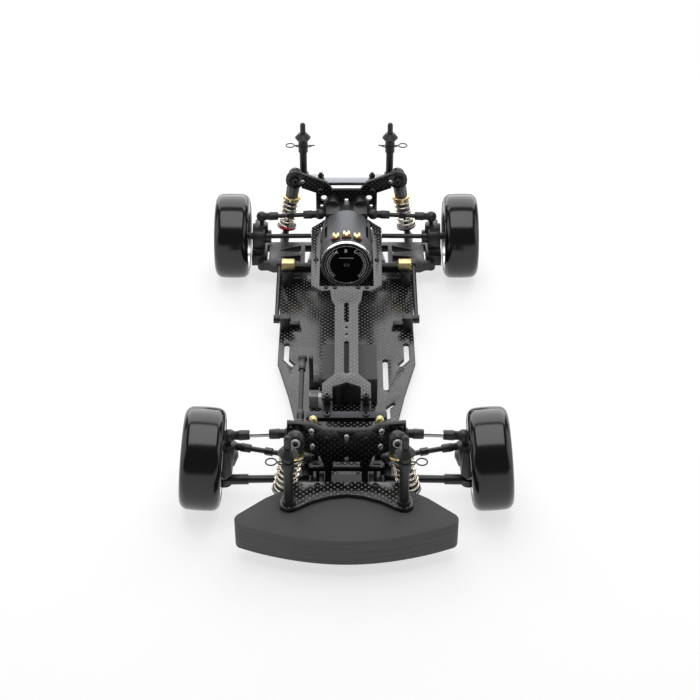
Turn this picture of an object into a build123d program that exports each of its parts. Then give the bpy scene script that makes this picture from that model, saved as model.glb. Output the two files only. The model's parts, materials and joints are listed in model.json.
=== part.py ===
from build123d import *
import os
from math import atan2, cos, degrees, hypot, pi, radians, sin, tan

# ---------------------------------------------------------------------------
# Radio-controlled drift car chassis, 1:10 scale, millimetres.
# The nose points along -Y, +Z is up and +X is the car's own left side.
# Everything is drawn with the front axle at Y = 0 and moved to the part's
# origin (bottom centre of the box round the whole car) when it is written.
# ---------------------------------------------------------------------------

# --- Driving dimensions ----------------------------------------------------
wheelbase = 257.0
front_tyre_x = 85.5          # centre of a front tyre from the middle of the car
rear_tyre_x = 83.6
tyre_r = 31.0
tyre_w = 24.5
tyre_shoulder_r = 5.4
tyre_bead_w = 22.0           # narrower at the rim than at the tread
tyre_depth = 6.6             # from the tread to the bead that grips the rim
front_camber = 5.0           # degrees, tops lean inwards
rear_camber = 1.0

rim_wall = 1.6
rim_disc_t = 3.0
rim_disc_out = 7.0           # outer face of the spoked disc, from the tyre's centre
rim_hub_r = 7.0
rim_spokes = 6
axle_r = 2.5
running_gap = 0.05           # radial clearance of a shaft in its bore
part_gap = 0.3               # clearance between pieces that move past each other
ball_gap = 0.12              # clearance of a pivot ball in its eye

chassis_bottom = 5.0
plate_t = 2.5                # main plate of woven carbon
chassis_top = chassis_bottom + plate_t
deck_t = 2.0
deck_top = 44.0
deck_bottom = deck_top - deck_t

nose_y = -68.5               # front of the foam bumper
foam_half_w = 64.0
foam_top = 28.0
foam_bottom = 10.0           # the foam lies on a thin tray
brace_t = 2.5

front_post_x = 33.0
front_post_y = -39.0
front_post_h = 49.0
rear_post_x = 32.0
rear_post_y = wheelbase + 37.0
rear_post_base = 60.8
rear_post_h = 44.0
post_r = 2.7
post_cone_r = 5.8
post_nub_r = 2.0
post_nub_h = 9.0
clip_wire_r = 0.5

# Front suspension, left side
front_pivot_x = 20.0
front_pivot_z = 16.0
front_ball_x = 73.5          # lower ball of the steering axis
front_ball_z = 15.0
front_link_in_x = 33.5
front_link_in_z = 50.6
front_link_out_x = 69.0
front_link_out_z = 48.8
ball_r = 3.0
cup_r = 3.9
cup_l = 12.0                 # plastic rod end from the centre of its ball
rod_r = 1.6                  # steel turnbuckle
arm_rod_r = 2.4
arm_barrel_r = 3.4
pin_r = 1.5

steer_arm_y = 12.0           # steering arm behind the steering axis
steer_ball_x = 69.0
steer_ball_z = 31.5
tie_cup_r = 3.4
rack_ball_x = 24.0
rack_rod_r = 2.0
rack_z = 24.0
rack_travel = 7.1
rack_post_x = 11.0
rack_pin_h = 4.2             # seat of a tie rod above the middle of the rack
steer_lift = 1.1             # the leaning steering axis raises its pin at full lock
rack_post_w = 3.8

front_tower_y = -5.0         # middle of the plate
tower_t = 3.0
tower_half_w = 34.6
front_tower_top = 63.5
front_shock_y = -13.0
front_shock_top = (29.5, 57.0)     # X and Z of the upper eye
front_shock_low = (38.0, 14.5)     # X and Z of the lower eye

# Rear suspension, left side
rear_pivot_x = 20.0
rear_pivot_z = 14.0
rear_pin_x = 62.0
rear_pin_z = 14.5
rear_link_in_x = 19.5
rear_link_in_z = 49.5
rear_link_out_x = 62.0
rear_link_out_z = 47.5
rear_arm_front = -19.0       # front edge of the arm from the rear axle
rear_arm_back = 15.0
hub_foot_r = 3.2             # foot of the hub carrier, from its pin
rear_tower_y = wheelbase + 19.7     # the shocks hang behind it
rear_tower_lobe_r = 6.8
rear_shock_y = wheelbase + 27.5
rear_shock_top = (37.8, 67.3)
rear_shock_low = (46.8, 13.6)
rear_brace_z = 61.5          # underside of the bar behind the tower

shock_body_r = 4.8
shock_body_l = 23.0
shock_cap_r = 5.8
shock_shaft_r = 1.5
shock_eye_half = 3.4         # half the width of the upper eye
front_collar = 10.2           # spring collar from the upper eye
front_cup = 5.6              # spring cup from the lower eye
rear_collar = 17.4
rear_cup = 11.6
spring_r = 6.4               # middle of the wire
spring_wire_r = 0.65
spring_turns = 6
collar_r = 7.4
collar_t = 2.2

# Drive
gear_module = 0.5
pinion_teeth = 16
spur_teeth = 29
gear_w = 4.8
gear_backlash = 0.12
ring_r = 8.6
bevel_r = 4.0
outdrive_r = 4.6
outdrive_in_r = 3.3
drive_ball_r = 3.0
drive_rod_r = 1.7
drive_reach = 24.7           # outer ball of a driveshaft from the tyre's centre
gear_case_half_w = 15.0
gear_case_wall = 1.6

motor_r = 18.0
motor_front = wheelbase - 58.5      # face of the end bell
motor_l = 47.5
endbell_l = 13.5
motor_shaft_r = 1.6

servo_x = (-16.0, 20.0)
servo_y = (84.0, 124.0)
servo_h = 20.0
servo_spline_r = 3.0
horn_l = 19.0
horn_x = -23.0
bridge_y = (31.0, 37.2)
bridge_top = 38.0
bridge_t = 3.0
bridge_step = 1.2            # seats of the brass caps below the bridge's top
cap_r = 2.6
bell_x = 20.3                # upright post that the bellcrank turns on
bell_y = 29.0
bell_reach = 9.0             # outer arm, to the servo link
link_cup_r = 3.2
link_pin_h = 0.4
fork_y = 6.6                 # pin behind the rack rod
fork_half_gap = 2.1
fork_x = 12.0

bar_x = 48.6
bar_r = 1.5
bar_front_y = wheelbase - 87.0
bar_front_z = 16.0
bar_back_y = wheelbase - 28.0
bar_back_z = 24.0
knob_r = 4.0
knob_l = 9.5

# --- Worked out from the driving dimensions --------------------------------
def tyre_height(camber):
    """Height of a wheel's centre when its leaning tyre just touches the ground."""
    a = radians(camber)
    flat = (tyre_r - tyre_shoulder_r) * cos(a)
    lean = (tyre_w / 2 - tyre_shoulder_r) * sin(a)
    return flat + lean + tyre_shoulder_r


tyre_bead_r = tyre_r - tyre_depth
front_axle_z = tyre_height(front_camber)
rear_axle_z = tyre_height(rear_camber)
gear_distance = gear_module * (pinion_teeth + spur_teeth) / 2
motor_z = rear_axle_z + gear_distance
motor_back = motor_front + motor_l
tail_y = rear_post_y + post_cone_r
origin_y = (nose_y + tail_y) / 2


# --- Small building blocks -------------------------------------------------
def block(x0, x1, y0, y1, z0, z1):
    """Box between two corners."""
    centre = ((x0 + x1) / 2, (y0 + y1) / 2, (z0 + z1) / 2)
    return Pos(*centre) * Box(abs(x1 - x0), abs(y1 - y0), abs(z1 - z0))


def bar(p, q, r):
    """Round bar from p to q."""
    axis = Vector(*q) - Vector(*p)
    start = Plane(origin=p, z_dir=axis)
    return start * Cylinder(r, axis.length, align=(Align.CENTER, Align.CENTER, Align.MIN))


def ring(p, q, outer, inner):
    """Tube from p to q."""
    return bar(p, q, outer) - bar(p, q, inner)


def ball(p, r):
    return Pos(*p) * Sphere(r)


def ball_on(p, toward, r):
    """Ball at p whose poles lie on the line to another point."""
    axis = Vector(*toward) - Vector(*p)
    return Plane(origin=p, z_dir=axis) * Sphere(r)


def sheet_z(points, z0, z1):
    """Flat plate with the outline points, between two heights."""
    face = make_face(Polyline([(x, y, z0) for x, y in points], close=True))
    return extrude(face, z1 - z0, dir=(0, 0, 1))


def sheet_y(points, y0, y1):
    """Upright plate, its outline points given as X and Z."""
    face = make_face(Polyline([(x, y0, z) for x, z in points], close=True))
    return extrude(face, y1 - y0, dir=(0, 1, 0))


def both_ways(points):
    """An outline's left half, given from front to back, and its mirror image."""
    return points + [(-x, y) for x, y in reversed(points)]


def slot_z(p, q, r, z0, z1):
    """Cutter for a straight round-ended slot from p to q."""
    cut = bar((p[0], p[1], z0), (p[0], p[1], z1), r)
    cut += bar((q[0], q[1], z0), (q[0], q[1], z1), r)
    turn = degrees(atan2(q[1] - p[1], q[0] - p[0]))
    middle = ((p[0] + q[0]) / 2, (p[1] + q[1]) / 2, (z0 + z1) / 2)
    length = hypot(q[0] - p[0], q[1] - p[1])
    return cut + Pos(*middle) * Rot(0, 0, turn) * Box(length, 2 * r, z1 - z0)


def flip(shape):
    """The same piece for the other side of the car."""
    return mirror(shape, Plane.YZ)


def along(p, q, distance):
    """Point on the way from p to q."""
    way = (Vector(*q) - Vector(*p)).normalized()
    return tuple(Vector(*p) + way * distance)


# --- Plates and body -------------------------------------------------------
def chassis_plate():
    axle = wheelbase
    outline = both_ways([
        (22, -49), (37, -46), (37, -33), (20, -20), (20, -8), (30, 20), (34, 71),
        (38.5, 95), (46.7, 130), (46.7, axle - 77), (50.8, axle - 21), (50.8, axle - 14),
        (36, axle - 11), (30, axle - 5), (26, axle + 26)])
    plate = sheet_z(outline, chassis_bottom, chassis_top)
    low, high = chassis_bottom - 1, chassis_top + 1
    for side in (-1, 1):
        plate -= slot_z((side * 41, 151), (side * 41, 134), 1.8, low, high)
        plate -= slot_z((side * 41, 134), (side * 36.5, 127.5), 1.8, low, high)
    plate -= slot_z((26.2, 132), (26.2, 101), 1.8, low, high)
    plate -= slot_z((27, 80), (30.5, 84), 1.4, low, high)
    plate -= slot_z((27, 80), (27, 70), 1.4, low, high)
    return plate


def battery_post(y, z, half_l):
    """Moulded block at the plate's edge that carries one end of the battery bar."""
    foot = block(bar_x - 16, bar_x - 7, y + 0.8, y + 5.2, chassis_top, chassis_top + 3.5)
    tower = block(bar_x - 9, bar_x - 2.4, y - half_l, y + half_l, chassis_top, z + 2.6)
    return foot + tower


def battery_posts():
    front = battery_post(bar_front_y, bar_front_z, 3.4)
    front -= bar((bar_x - 12, bar_front_y, bar_front_z), (bar_x, bar_front_y, bar_front_z),
                 pin_r + running_gap)
    back = battery_post(bar_back_y, bar_back_z - knob_r - 3.2, 5.0)
    return [front, back, flip(front), flip(back)]


def upper_deck():
    axle = wheelbase
    outline = both_ways([
        (15.2, 42.6), (15.2, 58), (7.6, 68), (7.9, axle - 111), (10, axle - 105),
        (11.3, axle - 93), (17, axle - 94.4), (24.4, axle - 86.6), (25.3, axle - 10),
        (18.7, axle - 2), (15.5, axle + 2.5), (15.5, axle + 8.5)])
    deck = sheet_z(outline, deck_bottom, deck_top)
    low, high = deck_bottom - 1, deck_top + 1
    notch = both_ways([(8.8, 40), (8.8, 54.5)])
    deck -= sheet_z(notch[:2] + [(0, 59)] + notch[2:], low, high)
    room = motor_r + 0.6
    deck -= block(-room, room, axle - 88, axle - 6.5, low, high)
    deck -= block(-7.4, 7.4, axle - 7, axle + 13, low, high)
    deck -= slot_z((0, axle - 130), (0, axle - 110), 1.5, low, high)
    deck -= slot_z((0, 70), (0, 102), 1.5, low, high)
    for y in (111.5, 119.5):
        deck -= bar((0, y, low), (0, y, high), 0.9)
    return deck


def bumper_outline():
    """Face of the bumper seen from above: curved nose, round tips, swept back edge."""
    tip = foam_half_w
    front = Spline((-tip + 2, -54.4), (-34, nose_y + 4.4), (0, nose_y), (34, nose_y + 4.4),
                   (tip - 2, -54.4))
    right = ThreePointArc((tip - 2, -54.4), (tip, -50.0), (tip - 2.4, -45.0))
    left = ThreePointArc((-tip + 2, -54.4), (-tip, -50.0), (-tip + 2.4, -45.0))
    back = Polyline((tip - 2.4, -45), (47, -31.5), (38, -25.6), (20, -30), (-20, -30),
                    (-38, -25.6), (-47, -31.5), (-tip + 2.4, -45))
    return make_face([front.edge(), right.edge(), left.edge()] + back.edges())


def bumper_foam():
    foam = Pos(0, 0, foam_bottom) * extrude(bumper_outline(), foam_top - foam_bottom)
    for side in (-1, 1):
        foam -= bar((side * front_post_x, front_post_y, 0),
                    (side * front_post_x, front_post_y, foam_top + 1), post_r + 2.6)
    return foam


def bumper_tray():
    """Thin moulded tray between the nose of the plate and the foam."""
    outline = both_ways([(30, -58), (44, -52), (44, -38), (36, -30)])
    return sheet_z(outline, chassis_top, foam_bottom - part_gap)


def bumper_brace():
    """Carbon plate over the foam that ties the two front posts together."""
    half = [(9.5, -33), (20, -37.2), (28, -42.6), (34, -44.5), (38.2, -42), (38.4, -36.5),
            (35.5, -27.5), (30, -20.5)]
    points = [(0, -31.4)] + half + [(-x, y) for x, y in reversed(half)]
    top = foam_top + part_gap + brace_t
    brace = sheet_z(points, foam_top + part_gap, top)
    for side in (-1, 1):
        brace -= bar((side * front_post_x, front_post_y, 0),
                     (side * front_post_x, front_post_y, top + 1), 1.9)
    return brace


def body_post(x, y, base, height, stem):
    """Post that the body shell rests on: stem, post, clip hole, cone and nub."""
    top = base + height
    shell_z = top - post_nub_h
    cone_low = shell_z - 5.5
    post = bar((x, y, base), (x, y, shell_z), post_r)
    post += bar((x, y, base), (x, y, base + 2.5), post_r + 1.2)
    skirt = Plane(origin=(x, y, cone_low)) * Cone(
        post_r + 1.1, post_cone_r, 2.6, align=(Align.CENTER, Align.CENTER, Align.MIN))
    cap = Plane(origin=(x, y, cone_low + 2.6)) * Cone(
        post_cone_r, post_r + 0.4, 3.4, align=(Align.CENTER, Align.CENTER, Align.MIN))
    post += skirt + cap
    post += bar((x, y, cone_low - 9), (x, y, cone_low), post_r + 0.8)
    post += bar((x, y, shell_z), (x, y, top - post_nub_r), post_nub_r)
    post += ball((x, y, top - post_nub_r), post_nub_r)
    for z in (base + 6, base + 11):
        post -= bar((x - 9, y, z), (x + 9, y, z), 0.7)
    if stem > 0:
        post += bar((x, y, base - stem), (x, y, base), 1.8)
    clip_z = cone_low - 4
    post -= bar((x - 9, y, clip_z), (x + 9, y, clip_z), clip_wire_r + 0.1)
    return post


def body_clip(x, y, z, side):
    """Spring-wire clip: a straight leg through the post and a loop outside it."""
    start = x - side * 8.5
    end = x + side * 6
    clip = bar((start, y, z), (end, y, z), clip_wire_r)
    loop_c = (x + side * 9.1, y, z)
    loop = Pos(*loop_c) * Torus(3.0, clip_wire_r)
    return clip + loop


# --- Front end -------------------------------------------------------------
def front_shock_tower():
    half = [(7, front_tower_top - 5.6), (14, front_tower_top - 5.2), (19, front_tower_top - 1.8),
            (tower_half_w, front_tower_top), (tower_half_w + 0.4, front_tower_top - 7.5),
            (27, 46), (25.4, 41.5), (16, 38.5), (13, 30)]
    points = half + [(-x, z) for x, z in reversed(half)]
    y0, y1 = front_tower_y - tower_t / 2, front_tower_y + tower_t / 2
    tower = sheet_y(points, y0, y1)
    holes = [(20.2, 55, 1.3), (32.6, 60.2, 0.9), (20.3, 44.4, 1.3), (0, 51.4, 1.4),
             (0, 57.4 - 21, 1.6)]
    for x, z, r in holes:
        for side in (-1, 1):
            tower -= bar((side * x, y0 - 1, z), (side * x, y1 + 1, z), r)
    tower -= block(-rack_post_x + 3, rack_post_x - 3, y0 - 1, y1 + 1, 20, 34)
    return tower


def front_bulkhead():
    """Moulded block on the plate with hinge ears, tower seats and rack posts."""
    y_back = front_tower_y + tower_t / 2
    shape = block(-17.5, 17.5, -12, 10, chassis_top, 10.5)
    for side in (-1, 1):
        inside = front_pivot_x - arm_barrel_r - part_gap
        shape += block(side * 13.6, side * inside, -12, 11.4, chassis_top, 20.5)
        shape += block(side * 13.6, side * (front_pivot_x + 4), -12, -9, chassis_top, 20.5)
        shape += block(side * 13.6, side * (front_pivot_x + 4), 8.4, 11.4, chassis_top, 20.5)
        shape += bar((side * front_pivot_x, -12, front_pivot_z),
                     (side * front_pivot_x, 11.4, front_pivot_z), pin_r)
        x0 = side * (rack_post_x - rack_post_w / 2)
        x1 = side * (rack_post_x + rack_post_w / 2)
        shape += block(x0, x1, -3.4, 3.4, chassis_top, 38.5)
        shape += block(x0, x1, y_back, y_back + 2.2, chassis_top, 42)
    bore = bar((-30, 0, rack_z), (30, 0, rack_z), rack_rod_r + running_gap)
    shape -= bore
    for side in (-1, 1):
        shape -= bar((side * rack_post_x, -6, 33), (side * rack_post_x, 6, 33), 1.3)
    return shape


def rack_carriage():
    """Rod that slides through both rack posts, with a clamp block at each end."""
    end = rack_ball_x + 3.0
    shape = bar((-end, 0, rack_z), (end, 0, rack_z), rack_rod_r)
    for side in (-1, 1):
        x0 = side * (rack_post_x + rack_post_w / 2 + rack_travel + part_gap)
        shape += block(x0, side * end, -3.2, 3.2, rack_z - 3, rack_z + 3)
        pin_x = side * rack_ball_x
        shape += bar((pin_x, 0, rack_z), (pin_x, 0, rack_z + rack_pin_h), pin_r)
    x, y = fork_pin()
    shape += block(x - 2.6, x + 2.6, 0, y + 2, rack_z - 3, rack_z + 2)
    shape += bar((x, y, rack_z), (x, y, bell_top() + 0.6), pin_r)
    return shape


def tie_in():
    return (rack_ball_x, 0, rack_z + rack_pin_h + part_gap + tie_cup_r)


def tie_out():
    return (steer_ball_x, steer_arm_y, steer_ball_z)


def rod_end(p, toward, r):
    """Plastic rod end: a round cup on its ball and a tapered sleeve."""
    tip = along(p, toward, cup_l)
    return ball_on(p, toward, r) + bar(p, tip, r * 0.72)


def turnbuckle(p, q, r):
    """Link with a rod end at each side and a hexagon in the middle."""
    shape = rod_end(p, q, r) + rod_end(q, p, r) + bar(p, q, rod_r)
    total = (Vector(*q) - Vector(*p)).length
    a = along(p, q, total / 2 - 2.5)
    axis = Vector(*q) - Vector(*p)
    hexagon = extrude(Plane(origin=a, z_dir=axis) * RegularPolygon(rod_r + 0.7, 6), 5)
    return shape + hexagon


def front_arm():
    """Lower arm: hinge barrel, rod, shock lug and the eye of the lower ball."""
    inner = (front_pivot_x, 0, front_pivot_z)
    outer = (front_ball_x, 0, front_ball_z)
    barrel_y = 8.4 - part_gap
    shape = bar((front_pivot_x, -9 + part_gap, front_pivot_z),
                (front_pivot_x, barrel_y, front_pivot_z), arm_barrel_r)
    shape += bar(along(inner, outer, 1), along(inner, outer, 51), arm_rod_r)
    shape += bar(along(inner, outer, 39), along(inner, outer, 51), arm_rod_r + 0.8)
    lug_x, lug_z = front_shock_low
    lug_y = front_shock_y + 2.6 + part_gap
    shape += bar((lug_x, lug_y, lug_z), (lug_x, 3, lug_z), 3.0)
    shape += bar((lug_x, front_shock_y - 2.0, lug_z), (lug_x, lug_y + 1, lug_z), pin_r - running_gap)
    shape += bar((front_ball_x, 0, front_ball_z - 2.6), (front_ball_x, 0, front_ball_z + 2.0), 4.6)
    shape -= ball(outer, ball_r + ball_gap)
    shape -= bar(outer, (front_ball_x, 0, front_ball_z + 9), 2.7)
    shape -= bar((front_ball_x, 0, front_ball_z - 9), outer, 1.6)
    shape -= bar((front_pivot_x, -14, front_pivot_z), (front_pivot_x, 14, front_pivot_z),
                 pin_r + running_gap)
    return shape


def kingpin_direction():
    low = Vector(front_ball_x, 0, front_ball_z)
    high = Vector(front_link_out_x, 0, front_link_out_z)
    return (high - low).normalized()


def kingpin_ball():
    """Steel ball of the steering axis, with the stud that the knuckle turns on."""
    low = (front_ball_x, 0, front_ball_z)
    high = tuple(Vector(*low) + kingpin_direction() * 12)
    return ball(low, ball_r) + bar(low, high, pin_r)


def front_wheel_axis():
    """Outward direction of the front axle on the left side."""
    a = radians(front_camber)
    return Vector(cos(a), 0, sin(a))


def front_knuckle():
    """Upright with the stub axle, the steering arm and the two ball seats."""
    low = Vector(front_ball_x, 0, front_ball_z)
    up = kingpin_direction()
    foot = low + up * (ball_r + 1.8)
    top = low + up * (front_link_out_z - front_ball_z - cup_r - 1.4)
    column = bar(tuple(foot), tuple(top), 4.2)
    centre = Vector(front_tyre_x, 0, front_axle_z)
    out = front_wheel_axis()
    start = centre - out * (front_tyre_x - 70.5)
    shape = column + bar(tuple(start), tuple(centre - out * 7), 6.0)
    shape += block(68.4, 75.0, -6.5, 6.5, front_axle_z - 8.5, front_axle_z + 8.5)
    shape += bar(tuple(start), tuple(centre + out * 12), axle_r)
    link_ball = Vector(front_link_out_x, 0, front_link_out_z)
    pin_top = link_ball - up * (cup_r + part_gap + 0.1)
    shape += bar(tuple(top - up * 1), tuple(pin_top), pin_r)
    arm_z = steer_ball_z - tie_cup_r - part_gap - 2.8
    arm_tip = (steer_ball_x, steer_arm_y, arm_z)
    arm = sheet_z([(67.5, 3), (75.5, 3), (72.6, steer_arm_y), (65.4, steer_arm_y)],
                  arm_z - 2.2, arm_z + 1.2)
    arm += bar((steer_ball_x, steer_arm_y, arm_z - 2.2), (steer_ball_x, steer_arm_y, arm_z + 1.2), 3.6)
    shape += arm
    pin_top_z = steer_ball_z - tie_cup_r - part_gap - steer_lift
    shape += bar(arm_tip, (steer_ball_x, steer_arm_y, pin_top_z), pin_r)
    bore_top = low + up * 12.6
    shape -= bar(tuple(low), tuple(bore_top), pin_r + running_gap)
    return shape


def wheel_at(shape, x, y, z, camber):
    """Stand a wheel made about the X axis at its place on the left side."""
    return Pos(x, y, z) * Rot(0, -camber, 0) * shape


def tyre():
    """Hard drift tyre: flat slick tread, round shoulders, thin side walls."""
    half = tyre_w / 2
    s = tyre_shoulder_r
    bead = tyre_bead_r
    low = tyre_bead_w / 2
    with BuildSketch(Plane.XY) as section:
        with BuildLine():
            Polyline((-low, bead), (-low, bead + 0.8), (-half, tyre_r - s))
            ThreePointArc((-half, tyre_r - s),
                          (-half + s * (1 - cos(pi / 4)), tyre_r - s * (1 - sin(pi / 4))),
                          (-half + s, tyre_r))
            Line((-half + s, tyre_r), (half - s, tyre_r))
            ThreePointArc((half - s, tyre_r),
                          (half - s * (1 - cos(pi / 4)), tyre_r - s * (1 - sin(pi / 4))),
                          (half, tyre_r - s))
            Polyline((half, tyre_r - s), (low, bead + 0.8), (low, bead), (-low, bead))
        make_face()
    return revolve(section.sketch, Axis.X)


def rim():
    """Wheel inside the tyre: barrel with two lips, spoked disc and hub."""
    half = tyre_bead_w / 2
    seat = tyre_bead_r
    inner = seat - rim_wall
    barrel = ring((-half, 0, 0), (half, 0, 0), seat, inner)
    for side in (-1, 1):
        barrel += ring((side * half, 0, 0), (side * (half + 0.8), 0, 0), seat + 0.6, inner)
    disc0 = rim_disc_out - rim_disc_t
    disc = ring((disc0, 0, 0), (rim_disc_out, 0, 0), inner + 0.4, axle_r + running_gap)
    for i in range(rim_spokes):
        window = Rot(i * 360 / rim_spokes, 0, 0) * Pos(disc0 + rim_disc_t / 2, 0, 15.4)
        disc -= window * Box(rim_disc_t + 2, 8.4, 11)
    hub = ring((disc0 - 7, 0, 0), (rim_disc_out, 0, 0), rim_hub_r, axle_r + running_gap)
    return barrel + disc + hub


# --- Shock absorbers -------------------------------------------------------
def shock_line(top, low, y):
    return (top[0], y, top[1]), (low[0], y, low[1])


def shock_body(top, low, y, collar, cup):
    """Cylinder hung from the tower: eye, cap, body and threaded spring collar."""
    p, q = shock_line(top, low, y)
    shape = ball(p, shock_cap_r - 0.6)
    shape += bar(along(p, q, 3.0), along(p, q, 8.0), shock_cap_r)
    shape += bar(along(p, q, 7), along(p, q, 8 + shock_body_l), shock_body_r)
    shape += bar(along(p, q, collar), along(p, q, collar + collar_t), collar_r)
    shape -= bar(along(p, q, 12), along(p, q, 60), shock_shaft_r + running_gap)
    shape -= bar((p[0], y - 9, p[2]), (p[0], y + 9, p[2]), pin_r + running_gap)
    for side, low_z in ((-1, p[2] - 9), (1, p[2] - 7)):
        near, far = y + side * shock_eye_half, y + side * 9
        shape -= block(p[0] - 9, p[0] + 9, near, far, low_z, p[2] + 9)
    return shape


def shock_length(top, low):
    return hypot(top[0] - low[0], top[1] - low[1])


def shock_shaft(top, low, y, collar, cup):
    """Piston rod with the lower eye and the cup that holds the spring."""
    p, q = shock_line(top, low, y)
    total = shock_length(top, low)
    shape = bar(along(p, q, 19), along(p, q, total - 2), shock_shaft_r)
    shape += bar((q[0], y - 2.2, q[2]), (q[0], y + 2.2, q[2]), 3.4)
    shape += bar(along(p, q, total - cup), along(p, q, total - cup + 1.8), spring_r + 0.9)
    shape += bar(along(p, q, total - cup + 1.6), along(p, q, total - 2), 2.4)
    shape -= bar((q[0], y - 9, q[2]), (q[0], y + 9, q[2]), pin_r + 0.35)
    return shape


def shock_spring(top, low, y, collar, cup):
    """Coil spring between the collar and the lower cup."""
    p, q = shock_line(top, low, y)
    total = shock_length(top, low)
    start = collar + collar_t + spring_wire_r + running_gap
    end = total - cup - spring_wire_r - running_gap
    height = end - start
    coil = Helix(height / spring_turns, height, spring_r)
    wire = Plane(origin=coil @ 0, z_dir=coil % 0) * Circle(spring_wire_r)
    spring = sweep(wire, path=coil, is_frenet=True)
    axis = Vector(*q) - Vector(*p)
    return Plane(origin=along(p, q, start), z_dir=axis, x_dir=(0, 1, 0)) * spring


# --- Steering gear from the servo -----------------------------------------
def servo_case():
    x0, x1 = servo_x
    y0, y1 = servo_y
    z0 = chassis_top
    z1 = z0 + servo_h
    shape = block(x0, x1, y0, y1, z0, z1)
    shape = fillet(shape.edges().filter_by(Axis.X), 1.2)
    ear_x = x0 + 9.5
    shape += block(ear_x, ear_x + 2.6, y0 - 6.5, y1 + 6.5, z0 + 1.2, z1 - 1.2)
    for y in (y0 - 3.6, y1 + 3.6):
        for z in (z0 + 5.2, z1 - 5.2):
            shape -= bar((ear_x - 2, y, z), (ear_x + 5, y, z), 2.2)
    sy, sz = servo_axis()
    shape += bar((x0 - 1.5, sy, sz), (x0 + 1, sy, sz), 5.6)
    shape += bar((x0 - 4.2, sy, sz), (x0, sy, sz), servo_spline_r)
    return shape


def servo_axis():
    """Y and Z of the servo's output shaft."""
    return servo_y[0] + servo_h / 2, chassis_top + servo_h / 2


def horn_tip():
    y, z = servo_axis()
    return (horn_x - 0.9, y, z + horn_l)


def horn_ball():
    x, y, z = horn_tip()
    return (x - part_gap - link_cup_r - 0.4, y, z)


def servo_horn():
    y, z = servo_axis()
    x0, x1 = horn_x - 1.3, servo_x[0] - 2.0
    tip = horn_tip()
    shape = bar((x0, y, z), (x1, y, z), 4.8)
    shape += block(x0 + 0.1, x0 + 2.7, y - 3.0, y + 3.0, z, tip[2])
    shape += bar((x0, tip[1], tip[2]), (x0 + 2.6, tip[1], tip[2]), 3.0)
    shape += bar((horn_ball()[0] + link_cup_r + part_gap, tip[1], tip[2]), (x0 + 1, tip[1], tip[2]), pin_r)
    shape -= bar((servo_x[0] - 4.2 - part_gap, y, z), (x1 + 1, y, z),
                 servo_spline_r + running_gap)
    return shape


def bell_top():
    """Upper face of the bellcrank's arms."""
    return bridge_top - bridge_t - 4.4


def bell_tip():
    """Ball on the outer arm of the bellcrank, where the servo link ends."""
    return (-bell_x - bell_reach, bell_y, bell_top() + part_gap + 0.6 + link_cup_r)


def servo_link():
    return turnbuckle(horn_ball(), bell_tip(), link_cup_r)


def fork_pin():
    """Pin on the rack's right clamp block that the bellcrank's fork drives."""
    return (1.0 - rack_ball_x, fork_y)


def bellcrank():
    """Lever on the upright post: outer arm to the servo link, fork to the rack."""
    z1 = bell_top()
    z0 = z1 - 3.0
    shape = bar((-bell_x, bell_y, z0 - 2), (-bell_x, bell_y, z1 + 2), 4.6)
    tip = bell_tip()
    shape += block(-bell_x, tip[0], bell_y - 2.6, bell_y + 2.6, z0, z1)
    shape += bar((tip[0], bell_y, z0), (tip[0], bell_y, z1), 3.2)
    shape += bar((tip[0], bell_y, z1 - 1), (tip[0], bell_y, z1 + link_pin_h), pin_r)
    pin_x, pin_y = fork_pin()
    reach = hypot(pin_x + bell_x, pin_y - bell_y)
    turn = degrees(atan2(pin_y - bell_y, pin_x + bell_x))
    arm = block(0, reach + 2.4, -3.6, 3.6, z0, z1)
    arm -= block(reach - 4.4, reach + 9, -fork_half_gap, fork_half_gap, z0 - 1, z1 + 1)
    shape += Pos(-bell_x, bell_y, 0) * Rot(0, 0, turn) * arm
    shape -= bar((-bell_x, bell_y, z0 - 5), (-bell_x, bell_y, z1 + 5), 3.0 + running_gap)
    return shape


def servo_bridge():
    """Aluminium bridge on two posts that carries the front of the upper deck."""
    y0, y1 = bridge_y
    z0 = bridge_top - bridge_t
    shape = sheet_z(both_ways([(24.8, y0), (24.8, y1)]), z0, bridge_top)
    arm_end = 50.0
    seat_z = bridge_top - bridge_step
    for side in (-1, 1):
        shape += block(side * 17.5, side * 24.8, bell_y - 3.5, y0, z0, seat_z)
        shape -= bar((side * bell_x, bell_y, seat_z), (side * bell_x, bell_y, bridge_top + 1),
                     cap_r + part_gap)
        x0, x1 = side * (fork_x - 3.2), side * (fork_x + 3.2)
        shape += block(x0, x1, y1 - 1, arm_end, z0, bridge_top)
        shape += bar((side * fork_x, 46, bridge_top), (side * fork_x, 46, deck_bottom), 3.0)
    return shape


def bridge_posts():
    """Two upright posts under the bridge, with their brass caps above it."""
    pieces = []
    for side in (-1, 1):
        x = side * bell_x
        post = bar((x, bell_y, chassis_top), (x, bell_y, bridge_top - bridge_t), 3.0)
        pieces.append(post)
    return pieces


def bridge_caps():
    caps = []
    for side in (-1, 1):
        x = side * bell_x
        seat_z = bridge_top - bridge_step
        cap = bar((x, bell_y, seat_z), (x, bell_y, seat_z + 1.2), cap_r)
        cap += ball((x, bell_y, seat_z + 1.2), cap_r)
        cap -= block(x - 9, x + 9, bell_y - 9, bell_y + 9, seat_z - 6, seat_z)
        caps.append(cap)
    return caps


# --- Motor and drive -------------------------------------------------------
def y_bar(x, z, y0, y1, r):
    return bar((x, y0, z), (x, y1, z), r)


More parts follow.
